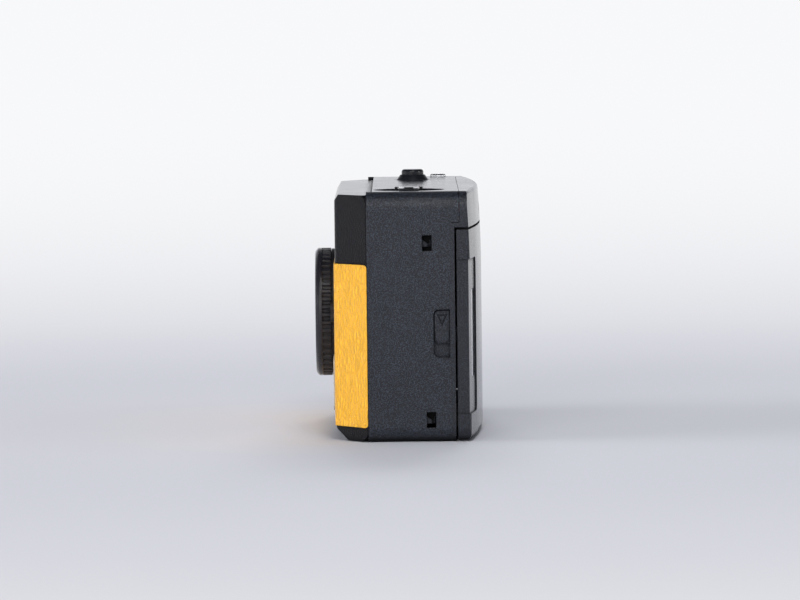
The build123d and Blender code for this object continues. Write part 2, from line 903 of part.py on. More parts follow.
def clip_hook(y, z):
    """A snap hook of the chassis in a clip window: a strip with a slanted lug and a thin bar."""
    outside = end_x - shell_wall - seat_gap
    inner = outside - skirt_wall
    behind = outside - 0.4
    tongue = block(inner, outside, y - 0.6, shell_rear_y - skirt_depth + 1, z - 0.8, z + clip_height + 0.8)
    tongue &= body_form(shell_wall + seat_gap)
    strip_low = z + clip_strip_rise
    strip_top = strip_low + clip_strip
    window = block(inner - 1, outside + 1, y + seat_gap, y + clip_depth - seat_gap, z, z + clip_height)
    tongue -= window - block(inner - 2, outside + 2, -far, far, strip_low, strip_top)
    y0 = y + seat_gap
    y1 = y0 + clip_lug_width
    corners = [(y0, strip_low), (y1, strip_low), (y1, strip_top), (y0, strip_low + clip_lug_height)]
    lug = slab_x(make_face(Polyline(*corners, close=True)), behind, end_x - 0.7)
    bar_y = y + clip_depth - 0.5
    bar = block(behind, end_x - 1.0, bar_y, bar_y + clip_bar, strip_low, strip_low + clip_lug_height)
    return tongue + lug + bar


def latch_room():
    """Room in the chassis for the latch's guide, tongue and spring."""
    x0 = end_x - shell_wall - seat_gap - latch_guide - 0.15
    x1 = end_x - shell_wall + 0.05
    room = block(x0, x1, latch_front_y - 0.4, rim_rear_y + 1, latch_low_z - 0.4, latch_high_z + 0.4)
    y = latch_stem_y()
    return room + block(x0 - 0.35, x1, y - 0.6, y + 0.6, latch_low_z, latch_low_z + 5)


def hinge_knuckles():
    """The chassis's two hinge knuckles, above and below the door's barrel."""
    low0 = door_bottom_z + 0.1
    high1 = door_top_z + door_top_gap - 0.2
    knuckles = None
    for z0, z1 in ((low0, low0 + knuckle_length), (high1 - knuckle_length, high1)):
        eye = rod_z(hinge_x, hinge_y, hinge_radius, z0, z1)
        web = block(hinge_x - 0.9, hinge_x + 0.9, rim_rear_y - 1.0, hinge_y, z0, z1)
        pair = eye + web
        knuckles = pair if knuckles is None else knuckles + pair
    return knuckles


def build_hinge_pin():
    """The steel pin of the door hinge."""
    return rod_z(hinge_x, hinge_y, hinge_pin_radius, door_bottom_z + 0.6, door_top_z + door_top_gap - 0.9)


def build_back_door():
    """The crowned back door with its hinge barrel, catch arms and plate posts."""
    zone = block(-far, far, door_front_y, far, door_bottom_z, door_top_z)
    door = (outer & zone) - body_form(door_wall)
    top_rail = block(-far, far, door_front_y, far, door_top_z - door_wall, door_top_z)
    door += outer & top_rail
    base_rail = block(-far, far, door_front_y, far, door_bottom_z, door_bottom_z + door_wall)
    door += outer & base_rail
    door -= block(-far, hinge_x, -far, far, -far, far)
    low = door_bottom_z + 0.1 + knuckle_length + run_gap
    high = door_top_z + door_top_gap - 0.2 - knuckle_length - run_gap
    door += rod_z(hinge_x, hinge_y, hinge_radius, low, high)
    clear = hinge_radius + run_gap
    for z0, z1 in ((-1, low), (high, door_top_z + 1)):
        door -= rod_z(hinge_x, hinge_y, clear, z0, z1)
        door -= block(-far, hinge_x + 1, -far, hinge_y, z0, z1)
    door -= rod_z(hinge_x, hinge_y, hinge_pin_radius + hinge_fit, low - 1, high + 1)
    door -= (outer - body_form(door_panel_depth)) & door_panel_form()
    door -= film_window_form(seat_gap, 2)
    door += door_catch()
    door += plate_posts()
    return door


def door_catch():
    """The lug at the latch end that the latch holds."""
    x1 = end_x - shell_wall - seat_gap - skirt_wall - run_gap
    z = (latch_low_z + latch_high_z) / 2
    return block(x1 - 1.2, x1, film_y + 0.5, back_end_y - door_wall + 0.6, z - 2.2, z + 1.8)


def plate_posts():
    """Two posts inside the door that carry the pressure plate's spring."""
    posts = None
    for x in (-plate_post_x, plate_post_x):
        post = rod_y(x, lens_z, plate_post_radius, film_y + spring_rise, back_crown_y - door_wall + 0.4)
        posts = post if posts is None else posts + post
    return posts


def door_panel_form():
    """The shallow panel pressed into the door at the latch end."""
    sketch = Pos(end_x, (door_panel_low_z + door_panel_high_z) / 2)
    sketch = sketch * rounded(2 * door_panel_width, door_panel_high_z - door_panel_low_z, 2.0)
    return slab_y(sketch, door_front_y, back_crown_y + 1)


def film_window_form(grow, through):
    """The window in the door over the film cassette."""
    width = film_window_width + 2 * grow
    height = film_window_high_z - film_window_low_z + 2 * grow
    sketch = Pos(film_window_x, (film_window_low_z + film_window_high_z) / 2) * rounded(width, height, 1.2)
    return slab_y(sketch, back_end_y - door_wall - through, back_crown_y + through)


def build_film_window():
    """The clear window set into the door."""
    skin = body_form(door_panel_depth + 0.1) - body_form(door_wall)
    return skin & film_window_form(0, 0.5)


def build_door_latch():
    """The sliding latch with its thumb pad, stem, guide and tongue."""
    top = latch_high_z - run_gap
    low = top - latch_thumb_height
    y0 = latch_front_y + 0.3
    y1 = shell_rear_y - 0.1
    x0 = end_x - latch_depth + 0.05
    x1 = end_x - 0.35
    sketch = Pos((y0 + y1) / 2, (low + top) / 2) * Rectangle(y1 - y0, top - low)
    sketch = fillet(sketch.vertices().sort_by(Axis.X)[:2], 1.2)
    slide = slab_x(sketch, x0, x1)
    pad = Pos((y0 + y1) / 2, low + latch_pad_height / 2) * Rectangle(y1 - y0 - 0.5, latch_pad_height - 0.3)
    pad = fillet(pad.vertices().group_by(Axis.Y)[0], latch_pad_round)
    slide += slab_x(pad, x1 - 0.2, x1 + latch_pad_rise)
    y = latch_stem_y()
    guide_x = end_x - shell_wall - seat_gap
    stem_top = top - latch_stem_inset
    slide += block(guide_x - 0.1, x0 + 0.1, y - 0.55, y + 0.55, stem_top - latch_stem_height, stem_top)
    slide += block(guide_x - latch_guide, guide_x, y0 + 0.4, y1 - 0.3, low + 1.0, top - 0.6)
    slide += block(guide_x - latch_guide, guide_x, y1 - 1.0, rim_rear_y - 0.1, top - 2.6, top - 0.6)
    return slide


def build_latch_spring():
    """The coil that lifts the latch."""
    spring = coil(latch_coil, latch_wire, latch_pitch, latch_spring_length)
    return Pos(end_x - shell_wall - seat_gap - latch_coil - 0.1, latch_stem_y(), latch_low_z + 0.6) * spring


def build_pressure_plate():
    """The plate that holds the film flat, ending short of the sprocket's teeth."""
    left_x = sprocket_x + tooth_half_chord(rail_height + plate_play) + run_gap
    length = plate_right_x - left_x
    sketch = Pos(left_x + length / 2, lens_z) * rounded(length, plate_tall, plate_corner)
    return slab_y(sketch, plate_front_y(), plate_front_y() + plate_thickness)


def plate_front_y():
    """The face of the pressure plate that the film slides on."""
    return film_y + rail_height + plate_play


def tooth_half_chord(depth):
    """Half the width that the sprocket's teeth sweep at a depth behind the film."""
    sweep_square = (sprocket_radius + tooth_height) ** 2 + (tooth_width / 2) ** 2
    return sqrt(max(sweep_square - (sprocket_radius + depth) ** 2, 0))


def build_pressure_spring():
    """The bowed leaf spring behind the pressure plate."""
    low = plate_front_y() + plate_thickness
    high = film_y + spring_rise
    leaf = bow(low, high) - bow(low - spring_leaf, high - spring_leaf)
    return slab_z(leaf, lens_z - spring_half_width, lens_z + spring_half_width)


def bow(low, high):
    """The area under an arc across the pressure spring's length."""
    left = (-spring_half_length, low)
    right = (spring_half_length, low)
    return make_face(ThreePointArc(left, (0, high), right) + Line(right, left))


def build_lens_ring():
    """The fixed ring round the lens: a plain rim, a knurled band and a sleeve into the plate."""
    knurl_y = ring_front_y + ring_knurl_start
    rear = knurl_y + ring_knurl_length
    core = ring_radius - rib_height
    profile = [
        (ring_bore, ring_front_y),
        (ring_radius - ring_chamfer, ring_front_y),
        (ring_radius, ring_front_y + ring_chamfer),
        (ring_radius, knurl_y),
        (core, knurl_y),
        (core, rear),
        (ring_sleeve, rear),
        (ring_sleeve, shell_front_y - seat_gap),
        (ring_bore, shell_front_y - seat_gap),
    ]
    ring = turned_y(profile, 0, lens_z)
    middle = (knurl_y + rear) / 2
    reach = rib_height + 0.2
    rib = Pos(ring_radius - reach / 2, 0, 0) * Box(reach, ring_knurl_length, rib_width)
    ribs = [Pos(0, middle, lens_z) * Rot(0, i * 360 / rib_count, 0) * rib for i in range(rib_count)]
    return ring + ribs


def build_lens_bezel():
    """The blank funnel between the ring and the lens."""
    edge = ring_bore - seat_gap
    profile = [
        (edge, bezel_front_y),
        (bezel_mouth, bezel_front_y),
        (bezel_throat, bezel_floor_y),
        (bezel_throat, bezel_rear_y),
        (bezel_throat + bezel_wall, bezel_rear_y),
        (bezel_throat + bezel_wall, bezel_floor_y + bezel_wall),
        (edge, bezel_front_y + bezel_wall + 1.0),
    ]
    return turned_y(profile, 0, lens_z)


def build_flash_switch():
    """The ring behind the lens ring whose tab turns the flash on."""
    rear = front_y - switch_gap
    front = ring_front_y + ring_knurl_start + ring_knurl_length + switch_gap
    inner = ring_sleeve + 0.2
    turn = turned_y([(inner, front), (switch_outer, front), (switch_outer, rear), (inner, rear)], 0, lens_z)
    panel_face = front_y - panel_proud - switch_gap
    half = switch_tab_height / 2
    neck = block(inner + 0.5, ring_radius + 0.4, front, panel_face, switch_tab_z - half, switch_tab_z + half)
    pad = Pos((ring_radius + 0.2 + switch_tab_reach) / 2, switch_tab_z)
    pad = pad * rounded(switch_tab_reach - ring_radius - 0.2, switch_tab_height, 1.2)
    return turn + neck + slab_y(pad, panel_face - switch_tab_thickness, panel_face)


def build_lens_holder():
    """The barrel that carries the lens and the stop."""
    flange_rear = shell_front_y - 0.05
    flange_front = flange_rear - holder_flange_thickness
    seat = lens_front_y + lens_thickness
    profile = [
        (holder_bore, bezel_floor_y + 0.2),
        (holder_outer, bezel_floor_y + 0.2),
        (holder_outer, flange_front),
        (holder_flange, flange_front),
        (holder_flange, flange_rear),
        (holder_outer, flange_rear),
        (holder_outer, shell_inner_front_y),
        (holder_bore, shell_inner_front_y),
        (holder_bore, stop_y + stop_thickness + seat_gap),
        (holder_bore - 0.8, stop_y + stop_thickness + seat_gap),
        (holder_bore - 0.8, stop_y + stop_thickness + 0.05),
        (holder_bore, stop_y + stop_thickness + 0.05),
        (holder_bore, seat + 0.4),
        (holder_bore - 0.8, seat + 0.4),
        (holder_bore - 0.8, seat + 0.05),
        (holder_bore, seat + 0.05),
    ]
    return turned_y(profile, 0, lens_z)


def build_front_lens():
    """The moulded lens element, bulged on both faces."""
    y0 = lens_front_y
    y1 = lens_front_y + lens_thickness
    curve = (lens_radius ** 2 + lens_bulge ** 2) / (2 * lens_bulge)
    disc = rod_y(0, lens_z, lens_radius, y0 - 1, y1 + 1)
    front = Pos(0, y0 + curve, lens_z) * Sphere(curve)
    rear = Pos(0, y1 - curve, lens_z) * Sphere(curve)
    return disc & front & rear


def build_stop():
    """The disc with the fixed aperture."""
    disc = rod_y(0, lens_z, lens_radius, stop_y, stop_y + stop_thickness)
    return disc - rod_y(0, lens_z, stop_hole, stop_y - 1, stop_y + stop_thickness + 1)


def shutter_base_y():
    """Front face of the shutter's base plate."""
    return shell_inner_front_y + shutter_room - base_thickness


def build_shutter_base():
    """The plate on the light tunnel's mouth that carries the shutter's two pivots."""
    y0 = shutter_base_y()
    height = base_high_z - base_low_z
    middle = Pos((base_left_x + base_right_x) / 2, (base_low_z + base_high_z) / 2)
    sketch = middle * rounded(base_right_x - base_left_x, height, 2)
    plate = slab_y(sketch, y0, y0 + base_thickness)
    plate -= rod_y(0, lens_z, holder_bore - 0.6, y0 - 1, y0 + base_thickness + 1)
    plate += rod_y(blade_pivot_x, blade_pivot_z, pivot_pin, shell_inner_front_y + 0.15, y0)
    plate += rod_y(lever_pivot_x, lever_pivot_z, pivot_pin, shell_inner_front_y + 0.15, y0)
    return plate


def arm(x0, z0, x1, z1, radius):
    """A flat bar with round ends between two points, as a sketch of (x, z)."""
    length = sqrt((x1 - x0) ** 2 + (z1 - z0) ** 2)
    turn = degrees(atan2(z1 - z0, x1 - x0))
    middle = Pos((x0 + x1) / 2, (z0 + z1) / 2) * Rot(0, 0, turn)
    bar = middle * Rectangle(length, 2 * radius)
    return bar + Pos(x0, z0) * Circle(radius) + Pos(x1, z1) * Circle(radius)


def build_shutter_blade():
    """The blade over the stop, with its short tail."""
    tail_x = blade_pivot_x - 3.0
    tail_z = blade_pivot_z + 2.2
    sketch = Pos(0, lens_z) * Circle(blade_cover)
    sketch += arm(blade_pivot_x, blade_pivot_z, 0, lens_z, 1.2)
    sketch += Pos(blade_pivot_x, blade_pivot_z) * Circle(1.9)
    sketch += arm(blade_pivot_x, blade_pivot_z, tail_x, tail_z, 0.8)
    sketch -= Pos(blade_pivot_x, blade_pivot_z) * Circle(pivot_pin + hinge_fit)
    y0 = shutter_base_y() - 0.3 - blade_thickness
    return slab_y(sketch, y0, y0 + blade_thickness)


def build_release_lever():
    """The rocking lever from the button's foot to the blade's tail."""
    end_x0 = button_x
    end_z0 = button_foot_z - 1.3
    tip_x = blade_pivot_x - 4.7
    tip_z = blade_pivot_z + 0.9
    sketch = arm(lever_pivot_x, lever_pivot_z, end_x0, end_z0, 1.1)
    sketch += arm(lever_pivot_x, lever_pivot_z, tip_x, tip_z, 0.8)
    sketch += Pos(lever_pivot_x, lever_pivot_z) * Circle(2.0)
    sketch -= Pos(lever_pivot_x, lever_pivot_z) * Circle(pivot_pin + hinge_fit)
    y0 = shutter_base_y() - 0.3 - lever_thickness
    return slab_y(sketch, y0, y0 + lever_thickness)


def build_lever_spring():
    """The coil round the lever's pivot."""
    y0 = shutter_base_y() - 0.3 - lever_thickness - 0.15
    spring = coil(1.25, 0.12, 0.26, 0.4)
    return Pos(lever_pivot_x, y0 - 0.12, lever_pivot_z) * Rot(90, 0, 0) * spring


def build_button():
    """The shutter button with its stem and the foot that reaches forward to the lever."""
    cap = rod_z(button_x, button_y, button_radius, top_inner_z - 1.0, button_top_z)
    cap = fillet(cap.edges().group_by(Axis.Z)[-1], 0.7)
    stem = rod_z(button_x, button_y, stem_radius, button_foot_z, top_inner_z)
    reach_y = shutter_base_y() - 0.3 - lever_thickness
    foot_top = button_foot_z + foot_thickness
    foot = block(button_x - 1.4, button_x + 1.4, reach_y, button_y, button_foot_z, foot_top)
    return cap + stem + foot


def build_button_collar():
    """The tapered collar that the button stands in."""
    low = body_height + 0.02
    collar = Pos(button_x, button_y, low + collar_rise / 2) * Cone(collar_base, collar_top, collar_rise)
    return collar - rod_z(button_x, button_y, button_radius + 0.15, low - 1, low + collar_rise + 1)


def build_button_spring():
    """The return spring round the button's stem."""
    low = button_foot_z + foot_thickness + 0.25
    height = top_inner_z - 1.0 - low - 0.25
    return Pos(button_x, button_y, low) * coil(stem_radius + 0.55, 0.2, height / 3.5, height)


def flash_rear_y():
    """Back of the flash reflector."""
    return front_y + flash_window_thickness + reflector_depth


def build_flash_window():
    """The ribbed clear window of the flash."""
    grow = -seat_gap / 2
    width = flash_width + 2 * grow
    height = flash_height + 2 * grow
    sketch = Pos(flash_x, (flash_low_z + flash_high_z) / 2) * rounded(width, height, 0.9)
    window = slab_y(sketch, front_y - 0.15, front_y + flash_window_thickness)
    grooves = int((flash_width - 3) / 1.5)
    first = flash_x - (grooves - 1) * 0.75
    rear = front_y + flash_window_thickness
    for i in range(grooves):
        x = first + i * 1.5
        window -= block(x - 0.3, x + 0.3, rear - 0.4, rear + 1, flash_low_z + 1, flash_high_z - 1)
    return window


def build_reflector():
    """The bright trough behind the flash window."""
    half = flash_width / 2 - 1.2
    inner = half - reflector_wall
    trough = slab_x(trough_section(0), flash_x - half, flash_x + half)
    return trough - slab_x(trough_section(reflector_wall), flash_x - inner, flash_x + inner)


def trough_section(inset):
    """The reflector's section moved inwards by inset, as a sketch of (y, z)."""
    mouth = front_y + flash_window_thickness + seat_gap
    middle = (flash_low_z + flash_high_z) / 2
    tall = flash_height / 2 - 0.6 - inset
    high = (mouth, middle + tall)
    low = (mouth, middle - tall)
    return make_face(ThreePointArc(high, (flash_rear_y() - inset, middle), low) + Line(low, high))


def build_flash_tube():
    """The glass flash tube across the reflector."""
    half = flash_width / 2 - 1.2 - reflector_wall
    y = flash_rear_y() - reflector_wall - tube_radius - 0.05
    z = (flash_low_z + flash_high_z) / 2
    return rod_x(y, z, tube_radius, flash_x - half, flash_x + half)


def build_board():
    """The flash circuit board behind the lens wall."""
    x0 = board_x - board_width / 2
    board = block(x0, x0 + board_width, board_y, board_y + board_thickness, board_low_z, board_high_z)
    x0 = flash_x - board_lead
    x1 = flash_x + board_lead
    return board + block(x0, x1, board_y, board_y + board_thickness, board_high_z, flash_low_z + 0.2)


def build_capacitor():
    """The flash capacitor, standing behind the board."""
    y = board_y + board_thickness + capacitor_radius
    x = board_x - capacitor_offset
    can = rod_z(x, y, capacitor_radius, capacitor_low_z, capacitor_low_z + capacitor_length)
    return fillet(can.edges().filter_by(GeomType.CIRCLE), 0.5)


def build_transformer():
    """The small transformer on the board's front."""
    z0 = board_low_z + core_rise
    z1 = board_low_z + coil_rise
    core = block(-core_half, core_half, board_y - core_thickness, board_y, z0, z0 + core_height)
    trigger = block(-coil_outer, -coil_inner, board_y - coil_thickness, board_y, z1, z1 + coil_height)
    return Pos(board_x, 0, 0) * (core + trigger)


def build_ready_lamp():
    """The flash-ready lamp beside the eyepiece."""
    rear = back_crown_y - 0.9
    return rod_y(lamp_x, finder_middle_z(), lamp_radius, shell_rear_y + 1, rear)


def build_finder_tunnel():
    """The open-ended box between the two finder lenses."""
    half = finder_width / 2 - 0.05
    y0 = shell_inner_front_y + 0.05
    y1 = back_crown_y - 3.2
    z0 = finder_low_z + 0.05
    z1 = finder_high_z - 0.05
    tunnel = block(-half, half, y0, y1, z0, z1)
    wall = finder_wall
    return tunnel - block(-half + wall, half - wall, y0 - 1, y1 + 1, z0 + wall, z1 - wall)


def build_finder_lens():
    """The finder's front lens."""
    sketch = Pos(0, finder_middle_z()) * rounded(finder_width - 0.1, finder_height - 0.1, 0.7)
    return slab_y(sketch, front_y + 0.3, front_y + 0.3 + finder_lens_thickness)


def build_eyepiece():
    """The finder's eyepiece lens in the upper back."""
    width = finder_width - 0.1
    height = finder_height - 0.1
    rear = back_crown_y - 1.6
    return slab_y(Pos(0, finder_middle_z()) * Rectangle(width, height), rear - finder_lens_thickness, rear)


def gear(teeth, thickness):
    """A spur gear about Z standing on the base plane."""
    pitch = gear_module * teeth / 2
    root = pitch - 0.58
    tip = pitch + 0.42
    wide = 0.44
    narrow = 0.2
    foot = root - 0.3
    base = wide + 0.05
    tooth = make_face(Polyline((foot, -base), (tip, -narrow), (tip, narrow), (foot, base), close=True))
    outline = Circle(root)
    for i in range(teeth):
        outline += Rot(0, 0, i * 360 / teeth) * tooth
    return extrude(outline, thickness)


def gear_low_z():
    """Underside of the gears on the roof."""
    return roof_top_z + run_gap


def build_advance_wheel():
    """The thumb wheel with its drive gear and post."""
    low = wheel_low_z()
    disc = rod_z(wheel_x, wheel_y, wheel_radius, low, low + wheel_thickness)
    for i in range(wheel_knurls):
        angle = i * 360 / wheel_knurls
        x = wheel_x + (wheel_radius + 0.25) * cos(radians(angle))
        y = wheel_y + (wheel_radius + 0.25) * sin(radians(angle))
        disc -= rod_z(x, y, wheel_knurl_depth + 0.05, low - 1, low + wheel_thickness + 1)
    pinion = Rot(0, 0, gear_direction + 180) * gear(wheel_gear_teeth, low - gear_low_z())
    pinion = Pos(wheel_x, wheel_y, gear_low_z()) * pinion
    post = rod_z(wheel_x, wheel_y, spindle_radius, chamber_high_z + 0.6, gear_low_z() + 0.1)
    neck_top = dial_low_z() + dial_thickness - 0.05
    neck = rod_z(wheel_x, wheel_y, spindle_radius, low + wheel_thickness, neck_top)
    return disc + pinion + post + neck


def dial_low_z():
    """Underside of the counter dial."""
    return top_inner_z - 0.3 - dial_thickness


def build_takeup_spool():
    """The take-up spool, its spindle and its gear."""
    low = chamber_low_z + 0.4
    high = chamber_high_z - 0.4
    spool = rod_z(spool_x, spool_y, spool_core, low, high)
    spool += rod_z(spool_x, spool_y, spool_flange, low, low + spool_flange_thickness)
    spool += rod_z(spool_x, spool_y, spool_flange, high - spool_flange_thickness, high)
    spool += rod_z(spool_x, spool_y, spindle_radius, chamber_low_z - 0.7, gear_low_z() + 0.1)
    slot = block(spool_x - 1.0, spool_x + 1.0, spool_y, spool_y + spool_core + 1, lens_z - 8, lens_z + 8)
    spool -= slot
    wheel = Rot(0, 0, gear_direction + 180 / spool_gear_teeth) * gear(spool_gear_teeth, gear_thickness)
    return spool + Pos(spool_x, spool_y, gear_low_z()) * wheel


def build_sprocket():
    """The sprocket shaft with its two toothed wheels."""
    low = lens_z - perforation_z - sprocket_thickness / 2
    shaft = rod_z(sprocket_x, sprocket_y, shaft_radius, low, chamber_high_z - 0.4)
    foot = release_top_z + release_travel + 0.2
    shaft += rod_z(sprocket_x, sprocket_y, spindle_radius, foot, roof_top_z + 0.2)
    reach = sprocket_radius + tooth_height
    half = sprocket_thickness / 2
    for side in (-1, 1):
        z = lens_z + side * perforation_z
        shaft += rod_z(sprocket_x, sprocket_y, sprocket_radius, z - half, z + half)
        for i in range(sprocket_teeth):
            tooth = Pos(reach / 2 + 1, 0, 0) * Box(reach - 2, tooth_width, sprocket_thickness)
            shaft += Pos(sprocket_x, sprocket_y, z) * Rot(0, 0, (i + 0.5) * 360 / sprocket_teeth) * tooth
    return shaft


def build_counter_dial():
    """The frame counter's dial."""
    low = dial_low_z()
    dial = rod_z(wheel_x, wheel_y, dial_radius, low, low + dial_thickness)
    return dial - rod_z(wheel_x, wheel_y, spindle_radius + hinge_fit, low - 1, low + dial_thickness + 1)


def build_counter_window():
    """The small domed window over the dial."""
    x, y = counter_place()
    low = body_height + 0.02
    stem = rod_z(x, y, window_radius - 0.5, top_inner_z + 0.05, low + 0.1)
    dome = rod_z(x, y, window_radius, low, low + window_rise)
    dome = fillet(dome.edges().group_by(Axis.Z)[-1], 0.4)
    return dome + stem


def pawl_low_z():
    """Underside of the wheel's pawl."""
    return wheel_low_z() + 0.8


def build_pawl():
    """The pawl that keeps the wheel from turning back."""
    reach = wheel_radius + pawl_half_width + pawl_gap
    tip_x = wheel_x + reach * cos(radians(pawl_bearing))
    tip_y = wheel_y + reach * sin(radians(pawl_bearing))
    sketch = arm(pawl_post_x, pawl_post_y, tip_x, tip_y, pawl_half_width)
    sketch += Pos(pawl_post_x, pawl_post_y) * Circle(pawl_boss_radius)
    sketch -= Pos(pawl_post_x, pawl_post_y) * Circle(pawl_post_radius + hinge_fit)
    return slab_z(sketch, pawl_low_z(), pawl_low_z() + 1.2)


def build_battery_box():
    """The bay that holds the cell, standing on the shell's floor."""
    box = bay_form(bay_wall, shell_wall) - bay_form(0, -1)
    return box - battery_hinge_room() - grown_ears()


def bay_form(grow, low):
    """The bay's room, grown outwards and upwards."""
    x = bay_half_length + grow
    y = bay_half_width + grow
    top = cell_z + cell_radius + bay_clearance + grow
    return Pos(bay_x, cell_y, 0) * block(-x, x, -y, y, low, top)


def grown_ears():
    """Room in the bay's foot for the battery door's ears."""
    reach = battery_hinge_half + battery_ear + 0.4
    y0 = battery_hinge_y() - battery_hinge_radius - 0.1
    top = battery_hinge_z() + battery_hinge_radius + 0.1
    return block(bay_x - reach, bay_x + reach, y0, y0 + 6, 0, top)


def build_battery_door():
    """The lid under the cell, with its hinge barrel and pins."""
    half_x = bay_half_length + battery_door_end_lap
    y0 = cell_y - bay_half_width - battery_door_lap
    y1 = battery_hinge_y()
    z0 = battery_door_recess
    z1 = battery_door_recess + battery_door_thickness
    half = battery_hinge_half
    clear = half + battery_ear + 0.4
    door = block(-half_x, half_x, y0, y1, z0, z1) - block(-clear, clear, y1 - 1.2, y1 + 1, -1, 3)
    door += rod_x(y1, battery_hinge_z(), battery_hinge_radius, -half, half)
    door += block(-half, half, y1 - 1.4, y1, z0 + 0.1, z1)
    door += rod_x(y1, battery_hinge_z(), battery_pin_radius, -half - battery_ear, half + battery_ear)
    return Pos(bay_x, 0, 0) * door


def build_cell():
    """The single small cell."""
    x0 = bay_x - cell_length / 2 - cell_nub / 2
    cell = rod_x(cell_y, cell_z, cell_radius, x0, x0 + cell_length)
    return cell + rod_x(cell_y, cell_z, cell_nub_radius, x0 + cell_length, x0 + cell_length + cell_nub)


def build_battery_spring():
    """The coil contact at the cell's flat end."""
    x0 = bay_x - bay_half_length + contact_thickness
    length = contact_room + bay_clearance - contact_thickness - 0.3
    spring = Pos(x0 + 0.25, cell_y, cell_z) * Rot(0, 90, 0) * coil(2.6, 0.25, length / 3, length - 0.5)
    half = cell_radius - 0.5
    plate = block(x0 - contact_thickness, x0, cell_y - half, cell_y + half, cell_z - half, cell_z + half)
    return plate + spring


def build_battery_contact():
    """The folded contact at the cell's nub."""
    x0 = bay_x + cell_length / 2 + cell_nub / 2 + 0.1
    x1 = bay_x + bay_half_length
    half = 3.0
    front = block(x0, x0 + contact_thickness, cell_y - half, cell_y + half, cell_z - half, cell_z + half)
    rear = block(x1 - contact_thickness, x1, cell_y - half, cell_y + half, cell_z - half, cell_z + half)
    fold = block(x0, x1, cell_y - half, cell_y + half, cell_z + half - contact_thickness, cell_z + half)
    return front + rear + fold


def build_release_button():
    """The rewind release button in the base."""
    button = rod_z(sprocket_x, sprocket_y, release_radius, battery_door_recess, shell_wall + 0.9)
    return button + rod_z(sprocket_x, sprocket_y, spindle_radius, shell_wall, release_top_z)


def knob_outer():
    """The rewind knob's radius."""
    return knob_pocket - knob_clearance


def knob_low_z():
    """Underside of the rewind knob."""
    return knob_floor_z + run_gap


def build_rewind_knob():
    """The knob with the pocket for the crank's grip and the two pivot ears."""
    low = knob_low_z()
    top = low + knob_thickness
    knob = rod_z(0, 0, knob_outer(), low, top)
    knob -= rod_z(grip_offset, 0, grip_radius + 0.4, low + 0.6, top + 1)
    inner = crank_width / 2 + 0.15
    outer_y = inner + 0.9
    x = -crank_pivot_offset
    ears = block(x - 0.9, x + 0.9, -outer_y, outer_y, top - 0.2, crank_top_z - 0.1)
    knob += ears - block(x - 1, x + 1, -inner, inner, low, crank_top_z)
    knob -= rod_y(-crank_pivot_offset, crank_pivot_z(), crank_pin_radius, -crank_width, crank_width)
    return Pos(cassette_x, cassette_y, 0) * knob


def crank_pivot_z():
    """Height of the crank's pivot."""
    return crank_top_z - crank_thickness / 2


def build_crank_pin():
    """The pin that the crank folds on."""
    half = crank_width / 2 + 1.05
    x = cassette_x - crank_pivot_offset
    return rod_y(x, crank_pivot_z(), crank_pin_radius, cassette_y - half, cassette_y + half)


def build_rewind_crank():
    """The folding crank arm."""
    low = crank_top_z - crank_thickness
    length = grip_offset + crank_pivot_offset
    sketch = Pos(grip_offset - length / 2, 0) * Rectangle(length, crank_width)
    sketch += Pos(grip_offset, 0) * Circle(crank_width / 2)
    bar = slab_z(sketch, low, crank_top_z)
    bar += rod_y(-crank_pivot_offset, crank_pivot_z(), crank_thickness / 2, -crank_width / 2, crank_width / 2)
    bar -= rod_y(-crank_pivot_offset, crank_pivot_z(), crank_pin_radius + 0.03, -crank_width, crank_width)
    bar -= rod_z(grip_offset, 0, 0.75, low - 1, crank_top_z + 1)
    return Pos(cassette_x, cassette_y, 0) * bar


def build_crank_grip():
    """The turning grip on the crank's end."""
    low = knob_low_z() + 0.9
    top = crank_top_z - crank_thickness - 0.1
    grip = rod_z(grip_offset, 0, grip_radius, low, top)
    grip += rod_z(grip_offset, 0, 0.7, low, crank_top_z + 0.1)
    grip += rod_z(grip_offset, 0, 1.2, crank_top_z + 0.05, crank_top_z + 0.25)
    return Pos(cassette_x, cassette_y, 0) * grip


def build_rewind_fork():
    """The shaft under the knob, with the blade that turns the film spool."""
    low = fork_low_z
    shaft = rod_z(cassette_x, cassette_y, fork_radius, low, knob_low_z())
    half = fork_blade / 2
    for side in (-1, 1):
        y0 = cassette_y + side * half
        y1 = cassette_y + side * 5
        shaft -= block(cassette_x - 5, cassette_x + 5, min(y0, y1), max(y0, y1), low - 1, low + 2.6)
    return shaft


def build_rewind_clip():
    """The ring that rises with the rewind shaft and limits its travel."""
    low = roof_top_z + 0.05
    ring = rod_z(cassette_x, cassette_y, clip_radius, low, low + clip_thickness)
    return ring - rod_z(cassette_x, cassette_y, fork_radius + hinge_fit, low - 1, low + clip_thickness + 1)


def build_door_seal():
    """The two foam strips that keep light out round the door."""
    half = 50.0
    low = block(-half, half, rim_rear_y, door_front_y - 0.05, door_bottom_z + 0.5, shell_wall + 0.7)
    high = block(-half, half, film_y + 1, door_front_y - 0.05, chamber_high_z + 0.1, door_top_z - 0.1)
    return low + high


def build_screws():
    """The two case screws."""
    screws = []
    for x, y in screw_places():
        head = rod_z(x, y, screw_head, 0.2, 0.2 + screw_head_thickness)
        head -= block(x - 1.2, x + 1.2, y - 0.22, y + 0.22, 0, 0.7)
        head -= block(x - 0.22, x + 0.22, y - 1.2, y + 1.2, 0, 0.7)
        screws.append(head + rod_z(x, y, screw_radius, 0.8, chamber_low_z - chamber_floor - 0.2))
    return Compound(children=screws)


